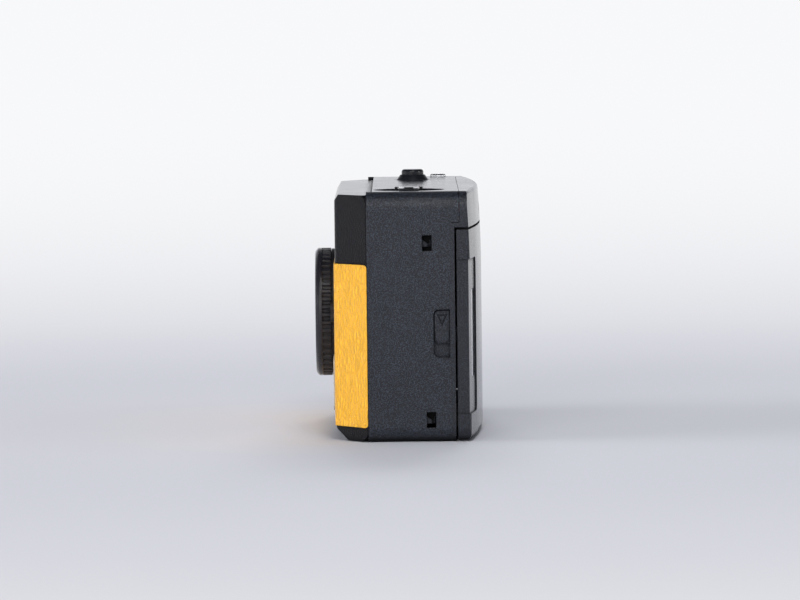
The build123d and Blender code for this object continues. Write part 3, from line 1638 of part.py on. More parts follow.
parts = {
    "front_shell": build_front_shell(),
    "face_plate": build_face_plate(),
    "cover_panel": build_cover_panel(),
    "badge_plate": build_badge(),
    "chassis": build_chassis(),
    "cassette_well": build_cassette_well(),
    "strap_bar": build_strap_bar(),
    "back_door": build_back_door(),
    "door_hinge_pin": build_hinge_pin(),
    "film_window": build_film_window(),
    "door_latch": build_door_latch(),
    "latch_spring": build_latch_spring(),
    "pressure_plate": build_pressure_plate(),
    "pressure_spring": build_pressure_spring(),
    "lens_ring": build_lens_ring(),
    "lens_bezel": build_lens_bezel(),
    "flash_switch": build_flash_switch(),
    "lens_holder": build_lens_holder(),
    "front_lens": build_front_lens(),
    "aperture_stop": build_stop(),
    "shutter_base": build_shutter_base(),
    "shutter_blade": build_shutter_blade(),
    "release_lever": build_release_lever(),
    "lever_spring": build_lever_spring(),
    "shutter_button": build_button(),
    "button_collar": build_button_collar(),
    "button_spring": build_button_spring(),
    "flash_window": build_flash_window(),
    "flash_reflector": build_reflector(),
    "flash_tube": build_flash_tube(),
    "flash_board": build_board(),
    "flash_capacitor": build_capacitor(),
    "flash_transformer": build_transformer(),
    "ready_lamp": build_ready_lamp(),
    "finder_tunnel": build_finder_tunnel(),
    "finder_lens": build_finder_lens(),
    "eyepiece_lens": build_eyepiece(),
    "advance_wheel": build_advance_wheel(),
    "takeup_spool": build_takeup_spool(),
    "sprocket_shaft": build_sprocket(),
    "counter_dial": build_counter_dial(),
    "counter_window": build_counter_window(),
    "wheel_pawl": build_pawl(),
    "battery_box": build_battery_box(),
    "battery_door": build_battery_door(),
    "battery_cell": build_cell(),
    "battery_spring": build_battery_spring(),
    "battery_contact": build_battery_contact(),
    "release_button": build_release_button(),
    "rewind_knob": build_rewind_knob(),
    "crank_pin": build_crank_pin(),
    "rewind_crank": build_rewind_crank(),
    "crank_grip": build_crank_grip(),
    "rewind_fork": build_rewind_fork(),
    "rewind_clip": build_rewind_clip(),
    "door_seal": build_door_seal(),
    "case_screws": build_screws(),
}

os.makedirs("parts", exist_ok=True)
for name, shape in parts.items():
    export_step(shape, f"parts/{name}.step")
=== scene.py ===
"""Looks of a compact 35 mm film camera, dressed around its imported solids.

Sizes are in millimetres and turn into metres where a mesh is made. +Z is up, the lens looks
along -Y and the rewind crank stands at +X.
"""

from __future__ import annotations

import json
import logging
import math
from dataclasses import dataclass
from enum import Enum
from typing import Any, Callable, Sequence

import bmesh
import bpy
from mathutils import Matrix, Vector

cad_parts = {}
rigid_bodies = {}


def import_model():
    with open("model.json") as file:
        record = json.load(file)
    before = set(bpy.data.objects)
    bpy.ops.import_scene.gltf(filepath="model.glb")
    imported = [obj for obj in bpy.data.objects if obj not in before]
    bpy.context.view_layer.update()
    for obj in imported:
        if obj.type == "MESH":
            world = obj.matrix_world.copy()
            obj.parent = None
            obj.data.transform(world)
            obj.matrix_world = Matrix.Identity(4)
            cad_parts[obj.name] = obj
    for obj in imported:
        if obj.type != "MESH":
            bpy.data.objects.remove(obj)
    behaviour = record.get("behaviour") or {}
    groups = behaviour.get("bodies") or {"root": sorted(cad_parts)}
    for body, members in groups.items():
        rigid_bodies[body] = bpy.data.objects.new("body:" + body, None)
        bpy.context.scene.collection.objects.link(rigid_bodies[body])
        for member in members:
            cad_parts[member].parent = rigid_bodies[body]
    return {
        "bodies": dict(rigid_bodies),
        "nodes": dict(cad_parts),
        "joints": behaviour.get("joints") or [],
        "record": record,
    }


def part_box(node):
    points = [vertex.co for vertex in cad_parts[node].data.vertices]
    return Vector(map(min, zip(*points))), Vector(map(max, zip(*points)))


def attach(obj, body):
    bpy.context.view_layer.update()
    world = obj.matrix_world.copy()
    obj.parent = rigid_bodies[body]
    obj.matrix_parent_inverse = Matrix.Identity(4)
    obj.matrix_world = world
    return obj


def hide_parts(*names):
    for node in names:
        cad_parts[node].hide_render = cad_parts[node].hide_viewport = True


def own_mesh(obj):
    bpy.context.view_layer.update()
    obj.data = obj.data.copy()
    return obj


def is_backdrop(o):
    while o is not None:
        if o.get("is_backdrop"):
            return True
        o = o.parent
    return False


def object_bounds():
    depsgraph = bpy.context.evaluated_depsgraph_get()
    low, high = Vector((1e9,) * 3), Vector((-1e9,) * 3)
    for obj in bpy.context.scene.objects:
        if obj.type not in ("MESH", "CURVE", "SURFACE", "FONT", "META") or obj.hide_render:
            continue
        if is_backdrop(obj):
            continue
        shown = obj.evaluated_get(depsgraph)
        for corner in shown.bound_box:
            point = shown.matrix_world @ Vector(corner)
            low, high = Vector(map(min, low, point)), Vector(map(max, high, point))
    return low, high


log = logging.getLogger("film_camera")

MM = 0.001
PHOTO_WIDTH = 800
Rgb = tuple[float, float, float]
Span = tuple[float, float]
Outline = Sequence[tuple[float, float]]
Point = tuple[float, float, float]

# What is left of roughness and of grain depth where the view skims a surface, and the span of
# skimming, from 0 to 1, over which each falls to that.
GRAZING_ROUGH = 0.36
GRAZING_DEPTH = 0.15
ROUGH_FALLS = (0.7, 0.97)
DEPTH_FALLS = (0.6, 0.95)

# A mote lets this share of the surface's colour through and adds its own.
MOTE_CLEAR = 0.8
MOTE_COLOR = (0.12, 0.12, 0.13)

# How bright the colour stays where shade is painted into a cavity, how much each unit of speckle
# darkens the colour between the painted glints, the darkest that gets, and how grey the glints are.
PAINTED_SHADE_GAIN = 0.08
SPECK_SHADE = 0.45
DARKEST = 0.1
GLINT_GREY = 0.5

# The part of a noise's range in which most of its values lie.
NOISE_SPAN = (0.3, 0.7)

# A bevel's profile, the angles in degrees below which edges shade smooth and faces count as flat,
# and the distance within which corners are joined.
BEVEL_PROFILE = 0.6
SMOOTH_ANGLE = 40.0
FLAT_ANGLE = 0.5
WELD_GAP = 0.0005


class Slot(Enum):
    """The record's material slots that the pieces take their finishes from."""

    SHELL = "shell_black"
    PLATE = "plate_black"
    PANEL = "panel_yellow"
    BADGE = "badge_cream"
    CHASSIS = "chassis_black"
    DOOR = "door_black"
    LATCH = "latch_black"
    RING = "ring_black"
    SWITCH = "switch_black"
    INNER = "inner_black"
    TRIM = "trim_black"
    STEEL = "steel"
    SPRING = "spring_steel"
    BLACK_STEEL = "blackened_steel"
    LENS = "lens_clear"
    WINDOW = "window_clear"
    SMOKE = "film_window_smoke"
    TUBE = "tube_glass"
    MIRROR = "reflector_bright"
    BOARD = "board_green"
    SLEEVE = "sleeve_black"
    FERRITE = "ferrite_brown"
    LAMP = "lamp_red"
    BRASS = "contact_brass"
    CELL = "cell_jacket"
    DIAL = "dial_white"
    FOAM = "seal_foam"
    ACETAL = "acetal_black"


class Graph:
    """A node tree with short calls that add nodes and join them."""

    def __init__(self, tree: bpy.types.NodeTree) -> None:
        """Starts with an empty tree.

        Args:
            tree: the node tree of a material, world or group.
        """
        self.tree = tree
        self.tree.nodes.clear()

    def add(self, kind: str, inputs: dict[str | int, Any] | None = None, **settings: Any) -> bpy.types.Node:
        """Adds a node.

        Args:
            kind: the node's type name.
            inputs: values or output sockets by input name or number.
            settings: attributes to set on the node.

        Returns:
            The new node.
        """
        node = self.tree.nodes.new(kind)
        for name, value in settings.items():
            setattr(node, name, value)
        for key, value in (inputs or {}).items():
            if isinstance(value, bpy.types.NodeSocket):
                self.tree.links.new(value, node.inputs[key])
            else:
                node.inputs[key].default_value = value
        return node

    def feed(self, shader: bpy.types.Node, **sockets: bpy.types.NodeSocket) -> None:
        """Joins outputs to a shader's inputs.

        Args:
            shader: the shader node.
            sockets: output sockets by the input's name with underscores for spaces.
        """
        for name, socket in sockets.items():
            self.tree.links.new(socket, shader.inputs[name.replace("_", " ")])

    def math(self, operation: str, *values: Any) -> bpy.types.NodeSocket:
        """A maths node's result on the given values or sockets."""
        return self.add("ShaderNodeMath", dict(enumerate(values)), operation=operation).outputs[0]

    def vector(self, operation: str, first: Any, second: Any) -> bpy.types.NodeSocket:
        """A vector maths node's result; a number as second scales the first."""
        key = "Scale" if operation == "SCALE" else 1
        return self.add("ShaderNodeVectorMath", {0: first, key: second}, operation=operation).outputs[0]

    def blend(self, amount: Any, first: Any, second: Any) -> bpy.types.NodeSocket:
        """Two colours mixed.

        Args:
            amount: value or socket from 0 to 1.
            first: colour or socket at 0.
            second: colour or socket at 1.

        Returns:
            The mixed colour's socket.
        """
        node = self.add("ShaderNodeMix", {0: amount, 6: first, 7: second}, data_type="RGBA")
        return node.outputs[2]

    def span(
        self, value: Any, low: float, high: float, to_low: float = 0.0, to_high: float = 1.0
    ) -> bpy.types.NodeSocket:
        """A value stretched from one range to another and held inside it."""
        inputs = {"Value": value, "From Min": low, "From Max": high, "To Min": to_low, "To Max": to_high}
        return self.add("ShaderNodeMapRange", inputs).outputs[0]

    def group(self, tree: bpy.types.NodeTree, **inputs: float) -> bpy.types.Node:
        """Places a shared group.

        Args:
            tree: the shared group.
            inputs: values by input name.

        Returns:
            The group node.
        """
        node = self.add("ShaderNodeGroup", node_tree=tree)
        for label, value in inputs.items():
            node.inputs[label].default_value = value
        return node


def rgba(color: Rgb, gain: float = 1.0) -> tuple[float, float, float, float]:
    """A colour with full alpha, brightened by gain and held under 1."""
    return (min(color[0] * gain, 1.0), min(color[1] * gain, 1.0), min(color[2] * gain, 1.0), 1.0)


@dataclass
class ShaderKit:
    """The node groups that several finishes share, each built once.

    A span is the part of a mask's range that is stretched to 0 and 1, a share is how much a layer
    adds to a height, and a fineness is how many times finer a layer is than the first one. Pits and
    pebbles reach a share of their cell. The leather's pattern wanders by wander_reach millimetres,
    wander_lines times a millimetre, and streaks are drawn out along Z by one over streak_squeeze.
    """

    pit_reach: float = 0.7
    pit_share: float = 0.5
    cloud_share: float = 0.7
    speck_fineness: float = 1.7
    speck_span: Span = (0.42, 0.72)
    mote_fineness: float = 21.0
    mote_span: Span = (0.16, 0.05)
    dusty_span: Span = (0.5, 0.7)
    cavity_span: Span = (0.25, 0.9)
    wander_lines: float = 0.45
    wander_reach: float = 1.6
    pebble_reach: float = 0.3
    pore_fineness: float = 3.0
    pore_share: float = 0.25
    streak_squeeze: float = 0.06

    def __post_init__(self) -> None:
        """Builds the groups."""
        self.grain = self._grain()
        self.handling_and_shade = self._handling_and_shade()
        self.hide = self._hide()
        self.brushed = self._brushed()

    @staticmethod
    def _start(
        name: str, inputs: dict[str, float], outputs: dict[str, str]
    ) -> tuple[bpy.types.NodeTree, Graph]:
        """A new group.

        Args:
            name: the group's name.
            inputs: default values of its float inputs.
            outputs: socket types of its outputs.

        Returns:
            The tree and its graph.
        """
        tree = bpy.data.node_groups.new(name, "ShaderNodeTree")
        graph = Graph(tree)
        for label, value in inputs.items():
            socket = tree.interface.new_socket(label, in_out="INPUT", socket_type="NodeSocketFloat")
            socket.default_value = value
        for label, kind in outputs.items():
            tree.interface.new_socket(label, in_out="OUTPUT", socket_type=kind)
        return tree, graph

    @staticmethod
    def _relief(graph: Graph, given: bpy.types.Node, height: bpy.types.NodeSocket) -> bpy.types.NodeSocket:
        """A normal with softened edges and the height pressed into it.

        Args:
            graph: the group's graph.
            given: its input node, with Depth and Edge in millimetres.
            height: the height from 0 to 1.

        Returns:
            The normal's socket.
        """
        edge = graph.math("MULTIPLY", given.outputs["Edge"], MM)
        soft = graph.add("ShaderNodeBevel", {"Radius": edge}, samples=4).outputs[0]
        depth = graph.math("MULTIPLY", given.outputs["Depth"], MM)
        pressed = {"Height": height, "Distance": depth, "Normal": soft}
        return graph.add("ShaderNodeBump", pressed).outputs[0]

    def _grain(self) -> bpy.types.NodeTree:
        """Spark-eroded mould grain: a normal and a speck mask."""
        inputs = {"Cells": 4.0, "Depth": 0.02, "Edge": 0.2}
        outputs = {"Normal": "NodeSocketVector", "Speck": "NodeSocketFloat"}
        tree, graph = self._start("mould grain", inputs, outputs)
        given = graph.add("NodeGroupInput")
        place = graph.add("ShaderNodeTexCoord").outputs["Object"]
        scale = graph.math("MULTIPLY", given.outputs["Cells"], 1 / MM)
        cloud = graph.add("ShaderNodeTexNoise", {"Vector": place, "Scale": scale, "Detail": 2.0})
        pits = graph.add("ShaderNodeTexVoronoi", {"Vector": place, "Scale": scale})
        slope = graph.span(pits.outputs["Distance"], 0.0, self.pit_reach)
        pit = graph.math("MULTIPLY", slope, self.pit_share)
        height = graph.math("MULTIPLY_ADD", cloud.outputs["Fac"], self.cloud_share, pit)
        fine = graph.math("MULTIPLY", scale, self.speck_fineness)
        specks = graph.add("ShaderNodeTexNoise", {"Vector": place, "Scale": fine, "Detail": 1.0})
        speck = graph.span(specks.outputs["Fac"], *self.speck_span)
        graph.add("NodeGroupOutput", {"Normal": self._relief(graph, given, height), "Speck": speck})
        return tree

    def _handling_and_shade(self) -> bpy.types.NodeTree:
        """Traces of use, a slow cloud and sparse dust, and a painted-shade mask, 0 in a cavity to 1 in the
        open.
        """
        outputs = {"Cloud": "NodeSocketFloat", "Dust": "NodeSocketFloat", "Cavity": "NodeSocketFloat"}
        tree, graph = self._start("handling_and_shade", {"Size": 12.0, "Reach": 2.2}, outputs)
        given = graph.add("NodeGroupInput")
        place = graph.add("ShaderNodeTexCoord").outputs["Object"]
        scale = graph.math("DIVIDE", 1 / MM, given.outputs["Size"])
        cloud = graph.add("ShaderNodeTexNoise", {"Vector": place, "Scale": scale, "Detail": 3.0})
        fine = graph.math("MULTIPLY", scale, self.mote_fineness)
        motes = graph.add("ShaderNodeTexVoronoi", {"Vector": place, "Scale": fine})
        spots = graph.span(motes.outputs["Distance"], *self.mote_span)
        patch = graph.span(cloud.outputs["Fac"], *self.dusty_span)
        dust = graph.math("MULTIPLY", spots, patch)
        reach = graph.math("MULTIPLY", given.outputs["Reach"], MM)
        # Ambient occlusion gives the mask by which shade is painted into cavities.
        open_sky = graph.add("ShaderNodeAmbientOcclusion", {"Distance": reach}, samples=4).outputs["AO"]
        cavity = graph.span(open_sky, *self.cavity_span)
        graph.add("NodeGroupOutput", {"Cloud": cloud.outputs["Fac"], "Dust": dust, "Cavity": cavity})
        return tree

    def _hide(self) -> bpy.types.NodeTree:
        """Embossed leather grain: long pebbles with creases between them."""
        inputs = {"Width": 1.1, "Stretch": 3.2, "Depth": 0.1, "Edge": 0.25}
        outputs = {"Normal": "NodeSocketVector", "Crease": "NodeSocketFloat"}
        tree, graph = self._start("leather grain", inputs, outputs)
        given = graph.add("NodeGroupInput")
        place = graph.add("ShaderNodeTexCoord").outputs["Object"]
        scale = graph.math("DIVIDE", 1 / MM, given.outputs["Width"])
        slow = self.wander_lines / MM
        wander = graph.add("ShaderNodeTexNoise", {"Vector": place, "Scale": slow, "Detail": 3.0})
        shift = graph.vector("SUBTRACT", wander.outputs["Color"], (0.5, 0.5, 0.5))
        moved = graph.vector("ADD", place, graph.vector("SCALE", shift, self.wander_reach * MM))
        tall = graph.math("DIVIDE", 1.0, given.outputs["Stretch"])
        squash = graph.add("ShaderNodeCombineXYZ", {0: 1.0, 1: 1.0, 2: tall}).outputs[0]
        drawn = graph.vector("MULTIPLY", moved, squash)
        where = {"Vector": drawn, "Scale": scale}
        cells = graph.add("ShaderNodeTexVoronoi", where, feature="DISTANCE_TO_EDGE")
        pebble = graph.span(cells.outputs["Distance"], 0.0, self.pebble_reach)
        fine = graph.math("MULTIPLY", scale, self.pore_fineness)
        pores = graph.add("ShaderNodeTexNoise", {"Vector": drawn, "Scale": fine})
        height = graph.math("MULTIPLY_ADD", pores.outputs["Fac"], self.pore_share, pebble)
        # The crease mask, by which shade is painted into the leather's creases.
        crease_shade = graph.math("SUBTRACT", 1.0, pebble)
        graph.add("NodeGroupOutput", {"Normal": self._relief(graph, given, height), "Crease": crease_shade})
        return tree

    def _brushed(self) -> bpy.types.NodeTree:
        """Drawing lines in metal: a normal and a streak mask."""
        inputs = {"Lines": 12.0, "Depth": 0.004, "Edge": 0.08}
        outputs = {"Normal": "NodeSocketVector", "Streak": "NodeSocketFloat"}
        tree, graph = self._start("drawn metal", inputs, outputs)
        given = graph.add("NodeGroupInput")
        place = graph.add("ShaderNodeTexCoord").outputs["Object"]
        flat = graph.vector("MULTIPLY", place, (1.0, 1.0, self.streak_squeeze))
        scale = graph.math("MULTIPLY", given.outputs["Lines"], 1 / MM)
        lines = graph.add("ShaderNodeTexNoise", {"Vector": flat, "Scale": scale, "Detail": 2.0})
        streak = lines.outputs["Fac"]
        graph.add("NodeGroupOutput", {"Normal": self._relief(graph, given, streak), "Streak": streak})
        return tree


@dataclass(frozen=True)
class Finish:
    """What every finish knows: its base colour and how rough it is.

    Play is how far the roughness strays from that, and patch is how wide a patch of handling is.
    """

    color: Rgb
    rough: float
    play: float = 0.04
    patch: float = 12.0

    def material(self, name: str, kit: ShaderKit) -> bpy.types.Material:
        """A new material of this finish.

        Args:
            name: the material's name.
            kit: the shared node groups.

        Returns:
            The material.
        """
        result = bpy.data.materials.new(name)
        result.use_nodes = True
        result.diffuse_color = rgba(self.color)
        graph = Graph(result.node_tree)
        shader = graph.add("ShaderNodeBsdfPrincipled")
        graph.add("ShaderNodeOutputMaterial", {"Surface": shader.outputs[0]})
        self.wire(graph, shader, kit)
        return result

    def wire(self, graph: Graph, shader: bpy.types.Node, kit: ShaderKit) -> None:
        """Feeds the shader; each kind of finish has its own way."""
        raise NotImplementedError

    def worn_and_shaded(
        self, graph: Graph, kit: ShaderKit, base: bpy.types.NodeSocket, dust: float
    ) -> dict[str, bpy.types.NodeSocket]:
        """Colour and roughness after some use, with shade painted into the colour in cavities.

        Args:
            graph: the material's graph.
            kit: the shared node groups.
            base: the clean colour.
            dust: how much the motes show.

        Returns:
            Sockets for Base_Color and Roughness.
        """
        hand = graph.group(kit.handling_and_shade, Size=self.patch)
        mote = tuple(MOTE_CLEAR * own + pale for own, pale in zip(self.color, MOTE_COLOR))
        amount = graph.math("MULTIPLY", hand.outputs["Dust"], dust)
        rough = self.uneven(graph, hand.outputs["Cloud"])
        skim = graph.span(self.grazing(graph), *ROUGH_FALLS, 1.0, GRAZING_ROUGH)
        sheen = graph.math("MULTIPLY", rough, skim)
        tone = graph.blend(amount, base, rgba(mote))
        # Shade is painted into the colour in cavities, where the roughness also rises to 1.
        cavity = hand.outputs["Cavity"]
        dull = graph.math("MULTIPLY", cavity, graph.math("SUBTRACT", sheen, 1.0))
        return {
            "Base_Color": graph.blend(cavity, rgba(self.color, PAINTED_SHADE_GAIN), tone),
            "Roughness": graph.math("ADD", dull, 1.0),
        }

    def uneven(self, graph: Graph, noise: bpy.types.NodeSocket) -> bpy.types.NodeSocket:
        """The roughness, straying to both sides with a noise."""
        return graph.span(noise, *NOISE_SPAN, self.rough - self.play, self.rough + self.play)

    @staticmethod
    def grazing(graph: Graph) -> bpy.types.NodeSocket:
        """How nearly the view skims the surface, from 0 to 1."""
        return graph.add("ShaderNodeLayerWeight", {"Blend": 0.5}).outputs["Facing"]


@dataclass(frozen=True)
class Moulded(Finish):
    """Injection-moulded plastic with mould grain and speckle; the speckle paints glints into the colour."""

    cells: float = 4.0
    depth: float = 0.02
    edge: float = 0.2
    speck: float = 0.35
    dust: float = 0.12
    specular: float = 0.5

    def wire(self, graph: Graph, shader: bpy.types.Node, kit: ShaderKit) -> None:
        """Feeds colour, roughness and normal from the mould grain with painted glints, and from use with
        painted shade.
        """
        grain = graph.group(kit.grain, Cells=self.cells, Edge=self.edge)
        depth = graph.span(self.grazing(graph), *DEPTH_FALLS, self.depth, self.depth * GRAZING_DEPTH)
        graph.tree.links.new(depth, grain.inputs["Depth"])
        # The speck mask paints glints into the colour: lighter, greyer specks where it is high, darker
        # between.
        deep = rgba(self.color, max(1.0 - SPECK_SHADE * self.speck, DARKEST))
        grey = GLINT_GREY * sum(self.color) / len(self.color)
        glint = tuple((1.0 - GLINT_GREY) * own + grey for own in self.color)
        tone = graph.blend(grain.outputs["Speck"], deep, rgba(glint, 1.0 + self.speck))
        shader.inputs["Specular IOR Level"].default_value = self.specular
        graph.feed(shader, Normal=grain.outputs["Normal"], **self.worn_and_shaded(graph, kit, tone, self.dust))


@dataclass(frozen=True)
class Leatherette(Finish):
    """Embossed leather-grain sheet, with shade painted into the creases between its pebbles."""

    crease_shade: Rgb = (0.66, 0.27, 0.012)
    crease_shade_share: float = 0.3
    width: float = 0.95
    stretch: float = 3.0
    depth: float = 0.32
    edge: float = 0.3

    def wire(self, graph: Graph, shader: bpy.types.Node, kit: ShaderKit) -> None:
        """Feeds colour and normal from the leather grain, with shade painted into its creases and cavities.
        """
        sizes = {"Width": self.width, "Stretch": self.stretch, "Depth": self.depth, "Edge": self.edge}
        hide = graph.group(kit.hide, **sizes)
        # The crease colour is painted shade, mixed in where the grain creases.
        amount = graph.math("MULTIPLY", hide.outputs["Crease"], self.crease_shade_share)
        tone = graph.blend(amount, rgba(self.color), rgba(self.crease_shade))
        graph.feed(shader, Normal=hide.outputs["Normal"], **self.worn_and_shaded(graph, kit, tone, 0.0))


@dataclass(frozen=True)
class Metal(Finish):
    """Drawn or polished metal."""

    play: float = 0.06
    lines: float = 12.0
    depth: float = 0.004
    edge: float = 0.08
    dark: float = 0.85
    bright: float = 1.1

    def wire(self, graph: Graph, shader: bpy.types.Node, kit: ShaderKit) -> None:
        """Feeds colour, roughness and normal from the drawing lines."""
        drawn = graph.group(kit.brushed, Lines=self.lines, Depth=self.depth, Edge=self.edge)
        streak = drawn.outputs["Streak"]
        shader.inputs["Metallic"].default_value = 1.0
        tone = graph.blend(streak, rgba(self.color, self.dark), rgba(self.color, self.bright))
        rough = self.uneven(graph, streak)
        graph.feed(shader, Base_Color=tone, Roughness=rough, Normal=drawn.outputs["Normal"])


@dataclass(frozen=True)
class Clear(Finish):
    """Clear or tinted moulding that light passes."""

    play: float = 0.03
    patch: float = 6.0
    ior: float = 1.49
    coat: float = 0.0
    dusty: float = 0.9
    cloud_span: Span = (0.4, 0.7)

    def wire(self, graph: Graph, shader: bpy.types.Node, kit: ShaderKit) -> None:
        """Sets the glass and feeds a faintly clouded colour and roughness."""
        hand = graph.group(kit.handling_and_shade, Size=self.patch)
        shader.inputs["Transmission Weight"].default_value = 1.0
        shader.inputs["IOR"].default_value = self.ior
        shader.inputs["Coat Weight"].default_value = self.coat
        tone = graph.blend(hand.outputs["Dust"], rgba(self.color), rgba(self.color, self.dusty))
        cloud = hand.outputs["Cloud"]
        rough = graph.span(cloud, *self.cloud_span, self.rough, self.rough + self.play)
        graph.feed(shader, Base_Color=tone, Roughness=rough)


@dataclass(frozen=True)
class Foam(Finish):
    """Open-cell foam."""

    cells: float = 3.0
    depth: float = 0.25
    edge: float = 0.1
    dark: float = 0.4
    bright: float = 2.0
    dust: float = 0.1

    def wire(self, graph: Graph, shader: bpy.types.Node, kit: ShaderKit) -> None:
        """Feeds colour and normal from deep, coarse grain."""
        grain = graph.group(kit.grain, Cells=self.cells, Depth=self.depth, Edge=self.edge)
        low, high = rgba(self.color, self.dark), rgba(self.color, self.bright)
        tone = graph.blend(grain.outputs["Speck"], low, high)
        graph.feed(shader, Normal=grain.outputs["Normal"], **self.worn_and_shaded(graph, kit, tone, self.dust))


FINISHES: dict[Slot, Finish] = {
    Slot.SHELL: Moulded((0.0095, 0.0145, 0.0285), 0.42, cells=2.4, depth=0.12, speck=2.0),
    Slot.PLATE: Moulded((0.0035, 0.0035, 0.0065), 0.36, cells=2.6, depth=0.1, speck=2.4, specular=0.16),
    Slot.PANEL: Leatherette((0.97, 0.5, 0.026), 0.38),
    Slot.BADGE: Moulded((0.9, 0.83, 0.75), 0.35, cells=6.0, depth=0.004, speck=0.03),
    Slot.CHASSIS: Moulded((0.009, 0.0125, 0.0235), 0.42, cells=2.4, depth=0.1, speck=1.8),
    Slot.DOOR: Moulded((0.0085, 0.0115, 0.0215), 0.42, cells=2.4, depth=0.1, speck=1.8),
    Slot.LATCH: Moulded((0.009, 0.0125, 0.0245), 0.4, cells=2.6, depth=0.06, speck=1.8, edge=0.08),
    Slot.RING: Moulded((0.0115, 0.0115, 0.018), 0.3, cells=4.0, depth=0.03, speck=0.8),
    Slot.SWITCH: Moulded((0.012, 0.0125, 0.017), 0.42, cells=5.0, depth=0.012, speck=0.3),
    Slot.INNER: Moulded((0.007, 0.007, 0.008), 0.75, cells=3.0, depth=0.03, speck=0.3, dust=0.04),
    Slot.TRIM: Moulded((0.008, 0.009, 0.013), 0.22, cells=6.0, depth=0.004, speck=0.1),
    Slot.STEEL: Metal((0.62, 0.62, 0.63), 0.25),
    Slot.SPRING: Metal((0.5, 0.5, 0.53), 0.3),
    Slot.BLACK_STEEL: Moulded((0.012, 0.012, 0.015), 0.3, cells=4.0, depth=0.006, speck=0.3),
    Slot.LENS: Clear((0.93, 0.95, 1.0), 0.01, ior=1.49, coat=0.4),
    Slot.WINDOW: Clear((0.82, 0.83, 0.85), 0.12),
    Slot.SMOKE: Clear((0.35, 0.38, 0.42), 0.05),
    Slot.TUBE: Clear((0.98, 0.99, 1.0), 0.01, ior=1.46),
    Slot.MIRROR: Metal((0.9, 0.9, 0.9), 0.12, lines=3.0, depth=0.01),
    Slot.BOARD: Moulded((0.02, 0.11, 0.05), 0.35, cells=1.6, depth=0.02, speck=0.5),
    Slot.SLEEVE: Moulded((0.014, 0.016, 0.03), 0.22, cells=2.0, depth=0.01, speck=0.2),
    Slot.FERRITE: Moulded((0.1, 0.045, 0.02), 0.5, cells=3.0, depth=0.05, speck=0.5),
    Slot.LAMP: Moulded((0.6, 0.03, 0.02), 0.2, cells=6.0, depth=0.003, speck=0.1),
    Slot.BRASS: Metal((0.75, 0.55, 0.25), 0.28),
    Slot.CELL: Metal((0.42, 0.43, 0.46), 0.24, lines=5.0),
    Slot.DIAL: Moulded((0.8, 0.8, 0.77), 0.5, cells=6.0, depth=0.006, speck=0.05),
    Slot.FOAM: Foam((0.018, 0.018, 0.02), 0.9),
    Slot.ACETAL: Moulded((0.012, 0.012, 0.015), 0.38, cells=4.0, depth=0.01, speck=0.2),
}


